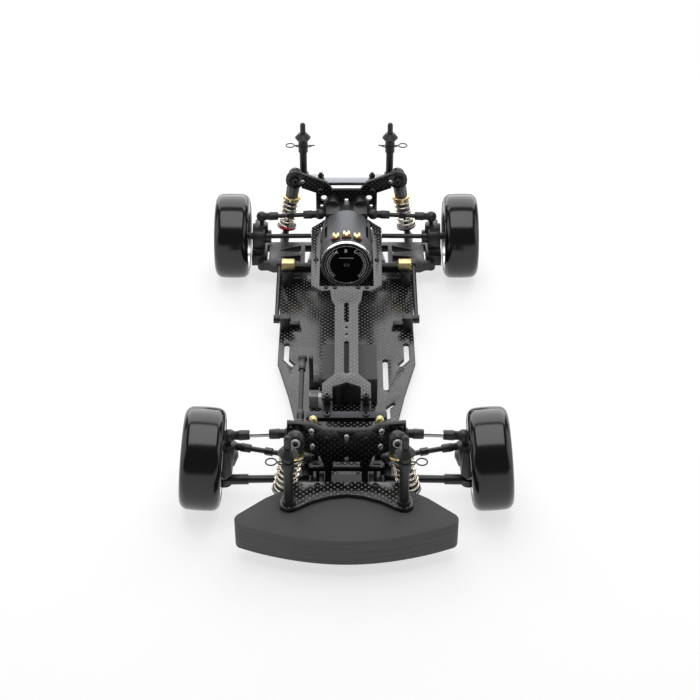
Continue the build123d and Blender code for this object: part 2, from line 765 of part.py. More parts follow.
def motor_can():
    """Drawn steel can, open at the front, with cooling slots along its sides."""
    y0 = motor_front + endbell_l
    can = y_bar(0, motor_z, y0, motor_back, motor_r)
    can = fillet(can.edges().filter_by(GeomType.CIRCLE).sort_by(Axis.Y)[-1], 3.0)
    can -= y_bar(0, motor_z, y0 - 1, motor_back - 2.0, motor_r - 1.6)
    can -= y_bar(0, motor_z, motor_back - 4, motor_back + 1, motor_shaft_r + running_gap)
    for turn in (55, 90, 125, 235, 270, 305):
        x = (motor_r - 1) * sin(radians(turn))
        z = motor_z + (motor_r - 1) * cos(radians(turn))
        can -= Pos(x, y0 + 14, z) * Rot(0, turn, 0) * Box(3.0, 15, 4)
    return can


def motor_endbell():
    """End bell with its bright rim and sunken face."""
    y0 = motor_front
    bell = y_bar(0, motor_z, y0, y0 + endbell_l, motor_r)
    bell -= y_bar(0, motor_z, y0 - 1, y0 + 1.0, motor_r - 2.0)
    bell -= y_bar(0, motor_z, y0 + 3.6, y0 + endbell_l + 1, motor_r - 2.0)
    bell -= y_bar(0, motor_z, y0 + 2, y0 + 6, motor_shaft_r + running_gap)
    return bell


def motor_tabs():
    """Three solder tabs on top of the end bell."""
    pieces = []
    for x in (-7.4, 0, 7.4):
        z = motor_z + (motor_r ** 2 - x ** 2) ** 0.5
        y = motor_front + 9.7
        tab = block(x - 2.2, x + 2.2, y - 2.0, y + 2.4, z - 0.2, z + 1.6)
        tab += block(x - 2.2, x - 0.8, y - 2.0, y + 2.4, z + 1.5, z + 2.8)
        tab += block(x + 0.8, x + 2.2, y - 2.0, y + 2.4, z + 1.5, z + 2.8)
        tab -= y_bar(0, motor_z, y - 9, y + 9, motor_r + 0.02)
        pieces.append(tab)
    return pieces


def spur_gear(teeth, width):
    """Spur gear about the Z axis with involute teeth, one tooth on the X axis."""
    pitch_r = gear_module * teeth / 2
    base_r = pitch_r * cos(radians(20))
    tip_r = pitch_r + gear_module * 0.9
    root_r = pitch_r - gear_module * 1.2
    half_pitch = pi / (2 * teeth) - gear_backlash / (4 * pitch_r)
    inv_pitch = tan(radians(20)) - radians(20)
    points = []
    for tooth in range(teeth):
        middle = tooth * 2 * pi / teeth
        flank = []
        for step in range(4):
            r = max(base_r, root_r) + (tip_r - max(base_r, root_r)) * step / 3
            roll = ((r / base_r) ** 2 - 1) ** 0.5 if r > base_r else 0.0
            inv = roll - atan2(roll, 1)
            flank.append((r, half_pitch + inv_pitch - inv))
        low_angle = flank[0][1]
        points.append((root_r, middle - low_angle))
        points += [(r, middle - a) for r, a in flank]
        points += [(r, middle + a) for r, a in reversed(flank)]
        points.append((root_r, middle + low_angle))
    corners = [(r * cos(a), r * sin(a), 0) for r, a in points]
    return extrude(make_face(Polyline(corners, close=True)), width)


def gear_y0():
    return wheelbase + ring_r + 1.6


def motor_rotor():
    """Rotor, shaft and pinion; the shaft passes over the rear axle."""
    y1 = gear_y0() + gear_w
    shaft = y_bar(0, motor_z, motor_front + 2.5, y1 + 0.9, motor_shaft_r)
    magnet = y_bar(0, motor_z, motor_front + endbell_l + 5, motor_back - 7, motor_r - 5.5)
    pinion = spur_gear(pinion_teeth, gear_w)
    turn = 90 + 180 / pinion_teeth if pinion_teeth % 2 else 90
    pinion = Pos(0, gear_y0() + gear_w, motor_z) * Rot(90, 0, 0) * Rot(0, 0, turn) * pinion
    return shaft + magnet + pinion


def bevel_shaft():
    """Pinion shaft: spur gear behind, bevel pinion against the ring gear."""
    y1 = gear_y0() + gear_w
    spur = spur_gear(spur_teeth, gear_w)
    phase = 90 + 180 / spur_teeth
    spur = Pos(0, y1, rear_axle_z) * Rot(90, 0, 0) * Rot(0, 0, phase) * spur
    shaft = y_bar(0, rear_axle_z, wheelbase + ring_r + 1.0, y1 + 0.9, 2.0)
    head_y = wheelbase + bevel_r + 0.6
    head = Pos(0, head_y, rear_axle_z) * Rot(-90, 0, 0) * Cone(
        bevel_r - 2.2, bevel_r, ring_r - bevel_r + 0.6, align=(Align.CENTER, Align.CENTER, Align.MIN))
    return spur + shaft + head


def spool():
    """Locked axle: ring gear in the middle and a drive cup at each end."""
    z = rear_axle_z
    y = wheelbase
    shape = bar((-gear_case_half_w - 2, y, z), (gear_case_half_w + 2, y, z), 2.6)
    gear = Pos(bevel_r + 0.7, y, z) * Rot(0, 90, 0) * Cone(
        ring_r, ring_r - 3.2, 3.4, align=(Align.CENTER, Align.CENTER, Align.MIN))
    shape += gear
    for side in (-1, 1):
        shape += bar((side * (gear_case_half_w + 0.5), y, z), (side * (gear_case_half_w + 11), y, z),
                     outdrive_r)
        shape -= bar((side * (gear_case_half_w + 3), y, z), (side * (gear_case_half_w + 12), y, z),
                     outdrive_in_r)
    return shape


def gearbox_case():
    """Gear case on the plate: hollow housing, two rounded humps and hinge ears."""
    w = gear_case_half_w
    y0, y1 = motor_back + 0.3, rear_tower_y - tower_t / 2
    z1 = 50.0
    wall = gear_case_wall
    case = block(-w, w, y0, y1, chassis_top, deck_bottom)
    case += block(-7, 7, y0, y1, deck_bottom, z1)
    case -= block(-w + wall, w - wall, y0 + wall, y1 - wall, chassis_top + wall, deck_bottom - wall)
    case -= block(-7 + wall, 7 - wall, y0 + wall, y1 - wall, deck_bottom - wall - 1, z1 - wall)
    case -= y_bar(0, motor_z, y0 - 1, y0 + wall + 1, motor_shaft_r + 0.3)
    case -= bar((-w - 1, wheelbase, rear_axle_z), (w + 1, wheelbase, rear_axle_z), 2.6 + running_gap)
    for side in (-1, 1):
        hump_y = wheelbase + 9
        hump = block(side * 5, side * (w + 1.2), hump_y, y1, deck_bottom, z1)
        dome = bar((side * 10.6, hump_y, z1), (side * 10.6, y1, z1), 5.4)
        dome -= block(side * 3, side * 18, hump_y - 1, y1 + 1, z1 - 9, z1 - 1)
        case += hump + dome
        case += block(side * 5, side * w, wheelbase - 3, hump_y + 1, z1 - 5, z1 + 1.5)
        for ya, yb in ((-23.5, -20.0), (16.0, 19.5)):
            case += block(side * (w - 1), side * (rear_pivot_x + 3.4), wheelbase + ya,
                          wheelbase + yb, chassis_top, rear_pivot_z + 4)
        case += bar((side * rear_pivot_x, wheelbase - 22, rear_pivot_z),
                    (side * rear_pivot_x, wheelbase + 18, rear_pivot_z), pin_r)
    return case


# --- Rear suspension -------------------------------------------------------
def rear_arm():
    """Moulded H-arm with lattice windows, hinge barrels and shock lug."""
    y0 = wheelbase + rear_arm_front
    y1 = wheelbase + rear_arm_back
    z0, z1 = rear_pivot_z - 3.0, rear_pivot_z + 2.6
    inset = rear_pin_x - hub_foot_r - 1.4
    outline = [(rear_pivot_x, y0), (rear_pin_x - 8, y0), (rear_pin_x - 2, y0 + 4),
               (rear_pin_x - 2, y0 + 9), (inset, y0 + 9), (inset, y1 - 5),
               (rear_pin_x - 2, y1 - 5), (rear_pin_x - 2, y1), (rear_pivot_x, y1)]
    arm = sheet_z(outline, z0, z1)
    arm -= sheet_z([(26, y0 + 5), (31, y0 + 5), (31, y1 - 5), (26, y1 - 5)], z0 - 1, z1 + 1)
    arm -= sheet_z([(34, y0 + 6), (50, y0 + 13), (34, y0 + 15)], z0 - 1, z1 + 1)
    arm -= sheet_z([(34, y1 - 5), (50, y1 - 12), (34, y1 - 15)], z0 - 1, z1 + 1)
    arm += bar((rear_pivot_x, y0, rear_pivot_z), (rear_pivot_x, y1, rear_pivot_z), 3.2)
    for ya, yb in ((y0 + 2, y0 + 9), (y1 - 5, y1)):
        arm += bar((rear_pin_x, ya, rear_pin_z), (rear_pin_x, yb, rear_pin_z), 3.2)
        arm += block(rear_pin_x - 6, rear_pin_x, ya, yb, rear_pin_z - 3, rear_pin_z + 2.4)
    lug_x, lug_z = rear_shock_low
    lug_y = rear_shock_y - 2.2 - part_gap
    arm += block(lug_x - 3, lug_x + 3, y1 - 6, lug_y, z0, z1)
    arm += bar((lug_x, lug_y - 1, lug_z), (lug_x, rear_shock_y + 3, lug_z), pin_r - running_gap)
    arm -= bar((rear_pivot_x, y0 - 1, rear_pivot_z), (rear_pivot_x, y1 + 1, rear_pivot_z),
               pin_r + running_gap)
    arm -= bar((rear_pin_x, y0 - 1, rear_pin_z), (rear_pin_x, y1 + 1, rear_pin_z),
               pin_r + running_gap)
    return arm


def rear_hub():
    """Hub carrier: foot between the arm's ears, bearing housing and link seat."""
    y0 = wheelbase + rear_arm_front + 9 + part_gap
    y1 = wheelbase + rear_arm_back - 5 - part_gap
    foot = block(rear_pin_x - hub_foot_r, rear_pin_x + 8, y0, y1,
                 rear_pin_z - hub_foot_r, rear_pin_z + 5)
    pin = bar((rear_pin_x, y0 - 7.2, rear_pin_z), (rear_pin_x, y1 + 5.2, rear_pin_z), pin_r)
    a = radians(rear_camber)
    out = Vector(cos(a), 0, sin(a))
    centre = Vector(rear_tyre_x, wheelbase, rear_axle_z)
    inner = centre - out * (rear_tyre_x - 60)
    outer = centre - out * (rear_tyre_x - 69)
    housing = bar(tuple(inner), tuple(outer), 9.5)
    web = block(rear_pin_x - 1, rear_pin_x + 5, wheelbase - 6, wheelbase + 6, rear_pin_z + 4,
                rear_link_out_z - cup_r - 2)
    seat_z = rear_link_out_z - cup_r - part_gap
    seat = bar((rear_link_out_x, wheelbase, rear_axle_z), (rear_link_out_x, wheelbase, seat_z - 2), 4.4)
    stud = bar((rear_link_out_x, wheelbase, seat_z - 3), (rear_link_out_x, wheelbase, seat_z), pin_r)
    shape = foot + pin + housing + web + seat + stud
    shape -= bar(tuple(inner - out * 3), tuple(outer + out * 3), 4.9)
    return shape


def rear_axle():
    """Stub axle of a rear wheel with its drive cup, turning in the hub carrier."""
    a = radians(rear_camber)
    out = Vector(cos(a), 0, sin(a))
    centre = Vector(rear_tyre_x, wheelbase, rear_axle_z)
    cup_in = centre - out * (rear_tyre_x - 55.5)
    cup_out = centre - out * (rear_tyre_x - 66)
    shape = bar(tuple(cup_in), tuple(cup_out), 4.9 - running_gap)
    shape += bar(tuple(cup_out - out), tuple(centre + out * 12), axle_r + running_gap)
    shape -= bar(tuple(cup_in - out), tuple(cup_in + out * 8), outdrive_in_r)
    return shape


def driveshaft():
    """Steel rod with a ball at each end, one in each drive cup."""
    inner = (gear_case_half_w + 7, wheelbase, rear_axle_z)
    drop = drive_reach * tan(radians(rear_camber))
    outer = (rear_tyre_x - drive_reach, wheelbase, rear_axle_z - drop)
    shape = bar(inner, outer, drive_rod_r)
    shape += ball_on(inner, outer, drive_ball_r)
    return shape + ball_on(outer, inner, drive_ball_r)


def rear_shock_tower():
    """Carbon plate against the gear case, with a round lobe for each shock."""
    half = [(10.3, 59.4), (13.4, 64.3), (15.2, 65.8), (29.8, 71.5), (34, 73.3), (33, 60.8),
            (22.6, 56.9), (22.5, 38), (14, 36), (14, 30)]
    points = half + [(-x, z) for x, z in reversed(half)]
    y0, y1 = rear_tower_y - tower_t / 2, rear_tower_y + tower_t / 2
    tower = sheet_y(points, y0, y1)
    shock_x, shock_z = rear_shock_top
    holes = [(16.6, 52.4, 2.4), (18.4, 45.6, 1.4), (shock_x, shock_z, pin_r + running_gap)]
    for side in (-1, 1):
        tower += y_bar(side * shock_x, shock_z, y0, y1, rear_tower_lobe_r)
    for x, z, r in holes:
        for side in (-1, 1):
            tower -= y_bar(side * x, z, y0 - 1, y1 + 1, r)
    return tower - y_bar(0, 50.5, y0 - 1, y1 + 1, 1.6)


def rear_brace():
    """Crossbar behind the tower with an angled bracket for each rear body post."""
    y0 = rear_tower_y + tower_t / 2
    seat_z = rear_post_base - 2.8
    brace = block(-27, 27, y0, y0 + 7.8, rear_brace_z, rear_brace_z + 2.5)
    for side in (-1, 1):
        brace += block(side * 22, side * 28, y0 + 4.8, y0 + 7.8, seat_z, rear_brace_z)
        brace += block(side * 22, side * 28, y0 + 4.8, rear_post_y + 3, seat_z, rear_post_base)
        brace += block(side * 26, side * 35, rear_post_y - 3, rear_post_y + 3, seat_z,
                       rear_post_base)
    return brace


# --- Battery bars ----------------------------------------------------------
def battery_bar():
    """Bar that holds the battery's edge, hinged in front, with its brass latch."""
    front = (bar_x, bar_front_y, bar_front_z)
    back = (bar_x, bar_back_y, bar_back_z)
    shape = bar(front, back, bar_r)
    shape += bar((bar_x - 2.1, bar_front_y, bar_front_z), (bar_x + 2.1, bar_front_y, bar_front_z), 3.0)
    shape += bar((bar_x - 10, bar_front_y, bar_front_z), (bar_x, bar_front_y, bar_front_z), pin_r)
    shape += bar((bar_x - 1.6, bar_back_y, bar_back_z), (bar_x + 2.0, bar_back_y, bar_back_z), 3.4)
    return shape


def brass_knob():
    return ring((bar_x - 1.6 - knob_l, bar_back_y, bar_back_z),
                (bar_x - 1.6, bar_back_y, bar_back_z), knob_r, 1.0)


# --- Shock screws on the towers -------------------------------------------
def shock_screw(x, z, y0, y1, head_y):
    """Screw that a shock's upper eye hangs on."""
    screw = bar((x, y0, z), (x, y1, z), pin_r)
    return screw + bar((x, head_y, z), (x, head_y + 1.2, z), 2.8)


def rear_shock_screw(x, z):
    """Screw from the front of the rear tower through a shock's eye, with its nut."""
    y0 = rear_tower_y - tower_t / 2
    nut_y = rear_shock_y + shock_eye_half + part_gap
    screw = shock_screw(x, z, y0, nut_y + 2, y0 - 1.2)
    return screw + y_bar(x, z, nut_y, nut_y + 2, 2.6)


# --- Writing the pieces ----------------------------------------------------
def write(name, *pieces):
    """Move the pieces of one node to the part's origin and write its STEP file."""
    solids = [Pos(0, -origin_y, 0) * piece for piece in pieces]
    shape = solids[0] if len(solids) == 1 else Compound(children=solids)
    export_step(shape, f"parts/{name}.step")


def write_pair(name, *pieces):
    """Write the left piece and its mirror image for the right side."""
    write(name + "_left", *pieces)
    write(name + "_right", *[flip(piece) for piece in pieces])


def write_body():
    write("chassis_plate", chassis_plate(), *battery_posts())
    write("upper_deck", upper_deck())
    tray = bumper_tray()
    for side in (-1, 1):
        tray -= bar((side * front_post_x, front_post_y, 0),
                    (side * front_post_x, front_post_y, foam_bottom), 1.9)
    write("bumper_brace", bumper_brace(), tray)
    write("bumper_foam", bumper_foam())
    brace_top = foam_top + part_gap + brace_t
    stem = brace_top - chassis_top
    posts = []
    clips = []
    cone_drop = post_nub_h + 5.5 + 4
    for side in (-1, 1):
        posts.append(body_post(side * front_post_x, front_post_y, brace_top, front_post_h, stem))
        posts.append(body_post(side * rear_post_x, rear_post_y, rear_post_base, rear_post_h, 0))
        clips.append(body_clip(side * front_post_x, front_post_y,
                               brace_top + front_post_h - cone_drop, side))
        clips.append(body_clip(side * rear_post_x, rear_post_y,
                               rear_post_base + rear_post_h - cone_drop, side))
    write("body_posts", *posts, *clips)


def write_front():
    x, z = front_shock_top
    y0 = front_tower_y - tower_t / 2
    screws = [shock_screw(side * x, z, front_shock_y - 4, y0, front_shock_y - 5) for side in (-1, 1)]
    write("front_shock_tower", front_shock_tower(), *screws)
    write("front_bulkhead", front_bulkhead())
    write("rack_carriage", rack_carriage())
    write_pair("front_arm", front_arm())
    link = turnbuckle((front_link_in_x, 0, front_link_in_z), (front_link_out_x, 0, front_link_out_z), cup_r)
    write_pair("front_upper_link", link)
    write_pair("kingpin_ball", kingpin_ball())
    write_pair("front_knuckle", front_knuckle())
    write_pair("tie_rod", turnbuckle(tie_in(), tie_out(), tie_cup_r))
    place = (front_tyre_x, 0, front_axle_z, front_camber)
    write_pair("front_wheel", wheel_at(rim(), *place))
    write_pair("front_tyre", wheel_at(tyre(), *place))
    line = (front_shock_top, front_shock_low, front_shock_y, front_collar, front_cup)
    write_pair("front_shock_body", shock_body(*line))
    write_pair("front_shock_shaft", shock_shaft(*line))
    write_pair("front_spring", shock_spring(*line))


def write_steering():
    write("servo_case", servo_case())
    write("servo_horn", servo_horn())
    write("servo_link", servo_link())
    write("bellcrank", bellcrank())
    write("servo_bridge", servo_bridge(), *bridge_posts(), *bridge_caps())


def write_rear():
    write("motor_can", motor_can())
    write("motor_endbell", motor_endbell(), *motor_tabs())
    write("motor_rotor", motor_rotor())
    write("bevel_shaft", bevel_shaft())
    write("spool", spool())
    write("gearbox_case", gearbox_case())
    x, z = rear_shock_top
    screws = [rear_shock_screw(side * x, z) for side in (-1, 1)]
    write("rear_shock_tower", rear_shock_tower(), rear_brace(), *screws)
    write_pair("rear_arm", rear_arm())
    link = turnbuckle((rear_link_in_x, wheelbase, rear_link_in_z),
                      (rear_link_out_x, wheelbase, rear_link_out_z), cup_r)
    write_pair("rear_upper_link", link)
    write_pair("rear_hub", rear_hub())
    write_pair("driveshaft", driveshaft())
    place = (rear_tyre_x, wheelbase, rear_axle_z, rear_camber)
    write_pair("rear_wheel", wheel_at(rim(), *place), rear_axle())
    write_pair("rear_tyre", wheel_at(tyre(), *place))
    line = (rear_shock_top, rear_shock_low, rear_shock_y, rear_collar, rear_cup)
    write_pair("rear_shock_body", shock_body(*line))
    write_pair("rear_shock_shaft", shock_shaft(*line))
    write_pair("rear_spring", shock_spring(*line))
    write_pair("battery_bar", battery_bar(), brass_knob())


os.makedirs("parts", exist_ok=True)
write_body()
write_front()
write_steering()
write_rear()
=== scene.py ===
import json
import math

import bmesh
import bpy
import numpy as np
from mathutils import Matrix, Vector


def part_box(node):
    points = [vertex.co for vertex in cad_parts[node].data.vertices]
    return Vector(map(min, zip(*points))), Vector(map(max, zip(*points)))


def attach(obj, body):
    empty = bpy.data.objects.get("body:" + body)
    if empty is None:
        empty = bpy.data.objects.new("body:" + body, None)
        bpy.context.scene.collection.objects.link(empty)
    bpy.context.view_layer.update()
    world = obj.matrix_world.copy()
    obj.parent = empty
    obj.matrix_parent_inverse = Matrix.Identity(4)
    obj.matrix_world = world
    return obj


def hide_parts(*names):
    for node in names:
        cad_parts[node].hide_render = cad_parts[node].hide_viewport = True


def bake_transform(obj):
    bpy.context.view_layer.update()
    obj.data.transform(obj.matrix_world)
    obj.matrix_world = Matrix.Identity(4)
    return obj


bl_info = {
    "name": "Drift Car Dresser",
    "version": (1, 0, 0),
    "blender": (4, 2, 0),
    "location": "View3D > Sidebar > Drift Car",
    "description": "Builds the finished look of a 1:10 radio-controlled drift car chassis round its frame",
    "category": "Object",
}

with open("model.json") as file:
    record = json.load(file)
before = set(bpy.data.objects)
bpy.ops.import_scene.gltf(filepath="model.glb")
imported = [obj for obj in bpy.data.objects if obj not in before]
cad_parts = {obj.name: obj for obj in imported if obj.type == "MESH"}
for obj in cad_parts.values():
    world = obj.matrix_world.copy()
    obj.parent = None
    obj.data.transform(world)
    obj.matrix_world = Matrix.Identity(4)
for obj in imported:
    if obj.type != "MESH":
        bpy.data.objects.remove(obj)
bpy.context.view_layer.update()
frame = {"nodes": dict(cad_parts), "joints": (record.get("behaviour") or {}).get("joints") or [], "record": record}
JOINTS = {joint["name"]: joint for joint in frame["joints"]}
NODE_BODY = {node: body for body, nodes in frame["record"]["behaviour"]["bodies"].items() for node in nodes}
SIDES = (("left", 1), ("right", -1))
FRONT_AXLE_Y = JOINTS["front_wheel_spin_left"]["pos_m"][1]


def mm(x, y, z):
    """A place in the car's own measures, front axle at Y 0, as metres in the frame."""
    return Vector((x / 1000, y / 1000 + FRONT_AXLE_Y, z / 1000))


def linear(code):
    """An sRGB hex colour as the linear values that a shader takes."""
    values = [int(code[i:i + 2], 16) / 255 for i in (1, 3, 5)]
    return tuple(v / 12.92 if v <= 0.04045 else ((v + 0.055) / 1.055) ** 2.4 for v in values) + (1.0,)


# --- Sizes and colours that a user can change -------------------------------
def colour(label, code, about):
    """A colour property, its default given as a hex code."""
    return bpy.props.FloatVectorProperty(name=label, description=about, subtype="COLOR", size=4,
                                         min=0, max=1, default=linear(code))


def length(label, value_mm, about):
    """A length property, its default given in mm."""
    return bpy.props.FloatProperty(name=label, description=about, default=value_mm / 1000,
                                   min=0, subtype="DISTANCE", unit="LENGTH")


class DriftCarSizes(bpy.types.PropertyGroup):
    """Lengths that the dressed pieces take"""
    tow: length("Tow width", 2.0, "Width of one tow of the carbon weave")
    edge: length("Edge break", 0.18, "Rounding of machined and moulded edges")
    wire: length("Spring wire", 1.3, "Thickness of the spring wire")
    clip_wire: length("Clip wire", 0.9, "Thickness of the body clips' wire")
    thread_pitch: length("Thread pitch", 0.75, "Pitch of the shock bodies' thread")
    foam_edge: length("Foam edge", 1.0, "Rounding of the foam bumper's cut edges")
    spring_turns: bpy.props.FloatProperty(name="Spring turns", default=6.0, min=1,
                                          description="Turns of each coil spring")


class DriftCarColours(bpy.types.PropertyGroup):
    """Colours of the finishes"""
    # Painted sheen: the pale middles of the tows stand for light that the weave reflects
    carbon_light: colour("Carbon, tow tops", "#6c6c6c", "Middles of the tows that catch the light")
    carbon_dark: colour("Carbon", "#0d0d0f", "The rest of the weave")
    plastic: colour("Moulded black nylon", "#1b1b1d", "Suspension parts, posts and rod ends")
    foam: colour("Bumper foam", "#4a4a4a", "Closed-cell foam")
    tyre: colour("Drift tyre", "#070708", "Hard smooth tyre")
    gold: colour("Gold anodising", "#e6d2a2", "Shock collars")
    brass: colour("Brass", "#e2d29a", "Thumb nuts and caps")
    spring: colour("Spring wire", "#f0e8d6", "Pale plating")
    aluminium: colour("Bare aluminium", "#b9bbbe", "Turned and satin parts")
    steel: colour("Bright steel", "#a9aaac", "Rods and screws")
    black_steel: colour("Blackened steel", "#18181a", "Oxide-black rods")
    rim: colour("Rim", "#c9cacc", "Silver wheel")


# --- Nodes and materials ---------------------------------------------------
def add_node(tree, kind, inputs, output=0, **settings):
    """Adds one node with its settings, sets or links its inputs by name or number, and returns
    one of its outputs."""
    node = tree.nodes.new(kind)
    for key, value in settings.items():
        setattr(node, key, value)
    for key, value in inputs.items():
        if isinstance(value, bpy.types.NodeSocket):
            tree.links.new(value, node.inputs[key])
        else:
            node.inputs[key].default_value = value
    return node.outputs[output] if len(node.outputs) else None


def new_material(name):
    """An empty material and its node tree."""
    made = bpy.data.materials.new(name)
    made.use_nodes = True
    made.node_tree.nodes.clear()
    return made, made.node_tree


def surface(tree, tint, roughness, relief=None, **more):
    """Principled surface joined to the output; relief is a height, its depth in mm and its strength."""
    inputs = {"Base Color": tint, "Roughness": roughness, **more}
    if relief:
        height, depth, strength = relief
        inputs["Normal"] = add_node(tree, "ShaderNodeBump", {
            "Height": height, "Distance": depth / 1000, "Strength": strength})
    shader = add_node(tree, "ShaderNodeBsdfPrincipled", inputs)
    add_node(tree, "ShaderNodeOutputMaterial", {0: shader})


def grain(tree, size, stretch=(1, 1, 1), detail=3.0):
    """Noise in the piece's own coordinates, with grains of a size in mm."""
    spot = add_node(tree, "ShaderNodeTexCoord", {}, "Object")
    spot = add_node(tree, "ShaderNodeMapping", {"Vector": spot, "Scale": stretch})
    return add_node(tree, "ShaderNodeTexNoise", {"Vector": spot, "Scale": 1000 / size, "Detail": detail})


def shaded(tint, share):
    """A colour made darker or paler by a share."""
    return [value * share for value in tint[:3]] + [1]


def woven_carbon(name, colours, tow, upright=False):
    """Plain-weave carbon plate under clear lacquer: each tow shows as a rounded square that
    passes over and under. The ones over have a pale middle, a painted sheen that stands for the
    light the tow reflects. A plate that stands upright turns those middles away from the light,
    so there they are painted near black, as painted shade."""
    made, tree = new_material(name)
    spot = add_node(tree, "ShaderNodeTexCoord", {}, "Object")
    steps = add_node(tree, "ShaderNodeVectorMath", {0: spot, 1: [tow] * 3}, operation="DIVIDE")
    square = add_node(tree, "ShaderNodeVectorMath", {0: steps}, operation="FLOOR")
    within = add_node(tree, "ShaderNodeVectorMath", {0: steps}, operation="FRACTION")
    offset = add_node(tree, "ShaderNodeVectorMath", {0: within, 1: [0.5] * 3}, operation="SUBTRACT")
    fall = add_node(tree, "ShaderNodeVectorMath", {0: offset, 1: offset}, operation="MULTIPLY")
    bulge = add_node(tree, "ShaderNodeVectorMath", {0: fall, 1: [-4] * 3, 2: [1] * 3},
                     operation="MULTIPLY_ADD")
    axis = 2 if upright else 1
    squares = add_node(tree, "ShaderNodeSeparateXYZ", {0: square}).node.outputs
    bulges = add_node(tree, "ShaderNodeSeparateXYZ", {0: bulge}).node.outputs
    total = add_node(tree, "ShaderNodeMath", {0: squares[0], 1: squares[axis]}, operation="ADD")
    over = add_node(tree, "ShaderNodeMath", {0: total, 1: 1.0}, operation="PINGPONG")
    middle = add_node(tree, "ShaderNodeMath", {0: bulges[0], 1: bulges[axis]}, operation="MULTIPLY")
    dot = add_node(tree, "ShaderNodeMapRange", {"Value": middle, "From Min": 0.3},
                   interpolation_type="SMOOTHSTEP")
    # Painted sheen: the tows that pass over get pale middles; on upright plates they are a tenth as pale, as
    # painted shade
    pale = add_node(tree, "ShaderNodeMath", {0: over, 1: dot}, operation="MULTIPLY")
    tops = shaded(colours.carbon_light, 0.1 if upright else 1.0)
    tint = add_node(tree, "ShaderNodeMix", {0: pale, 6: colours.carbon_dark, 7: tops}, 2, data_type="RGBA")
    rough = add_node(tree, "ShaderNodeMapRange", {"Value": pale, "To Min": 0.2, "To Max": 0.7})
    height = add_node(tree, "ShaderNodeMix", {0: over, 2: bulges[axis], 3: bulges[0]}, data_type="FLOAT")
    surface(tree, tint, rough, (height, 0.04, 0.2), IOR=1.55)
    return made


def moulded_nylon(name, tint, roughness=0.42):
    """Glass-filled nylon, injection moulded: near black with a soft broad sheen. Its grain is
    drawn coarser than the real one, which is too fine to show."""
    made, tree = new_material(name)
    surface(tree, tint, roughness, (grain(tree, 0.385), 0.02, 0.5), IOR=1.53)
    return made


def cut_foam(name, tint):
    """Closed-cell foam, cut with a hot wire: matt grey and finely streaked on its cut sides, which are painted
    paler than its top, as painted light.
    """
    made, tree = new_material(name)
    normal = add_node(tree, "ShaderNodeNewGeometry", {}, "Normal")
    level = add_node(tree, "ShaderNodeSeparateXYZ", {0: normal}, "Z")
    level = add_node(tree, "ShaderNodeMath", {0: level}, operation="ABSOLUTE")
    side = add_node(tree, "ShaderNodeMapRange", {
        "Value": level, "From Min": 0.2, "From Max": 0.8, "To Min": 1.0, "To Max": 0.0})
    # Painted light: upright faces are painted 1.8 times paler than the top, as if lit from the front
    base = add_node(tree, "ShaderNodeMix", {0: side, 6: tint, 7: shaded(tint, 1.8)}, 2, data_type="RGBA")
    streaks = add_node(tree, "ShaderNodeMapRange", {
        "Value": grain(tree, 16.7, (0.35, 0.35, 12), 4.0), "To Max": 0.75})
    streaks = add_node(tree, "ShaderNodeMath", {0: side, 1: streaks}, operation="MULTIPLY")
    shade = add_node(tree, "ShaderNodeMix", {0: streaks, 6: base, 7: shaded(tint, 0.45)}, 2,
                     data_type="RGBA")
    surface(tree, shade, 0.85, (grain(tree, 1.11), 0.1, 0.5), IOR=1.45)
    return made


def hard_tyre(name, tint):
    """Hard plastic drift tyre, smooth from use: black and glossy, with faint rolling marks."""
    made, tree = new_material(name)
    marks = grain(tree, 1.11, (3, 0.25, 0.25), 2.0)
    rough = add_node(tree, "ShaderNodeMapRange", {"Value": marks, "To Min": 0.13, "To Max": 0.2})
    surface(tree, tint, rough, (marks, 0.006, 0.5), IOR=1.52)
    return made


def metal(name, tint, roughness, streak=0.0):
    """Metal, with tool marks that vary its shine where streak is above 0. They are drawn coarser
    than real ones, which are too fine to show."""
    made, tree = new_material(name)
    if streak:
        roughness = add_node(tree, "ShaderNodeMapRange", {
            "Value": grain(tree, 0.667), "To Min": roughness - streak, "To Max": roughness + streak})
    surface(tree, tint, roughness, Metallic=1.0)
    return made


def painted(name, tint, roughness):
    """Even paint, print or gloss plastic."""
    made, tree = new_material(name)
    surface(tree, tint, roughness)
    return made


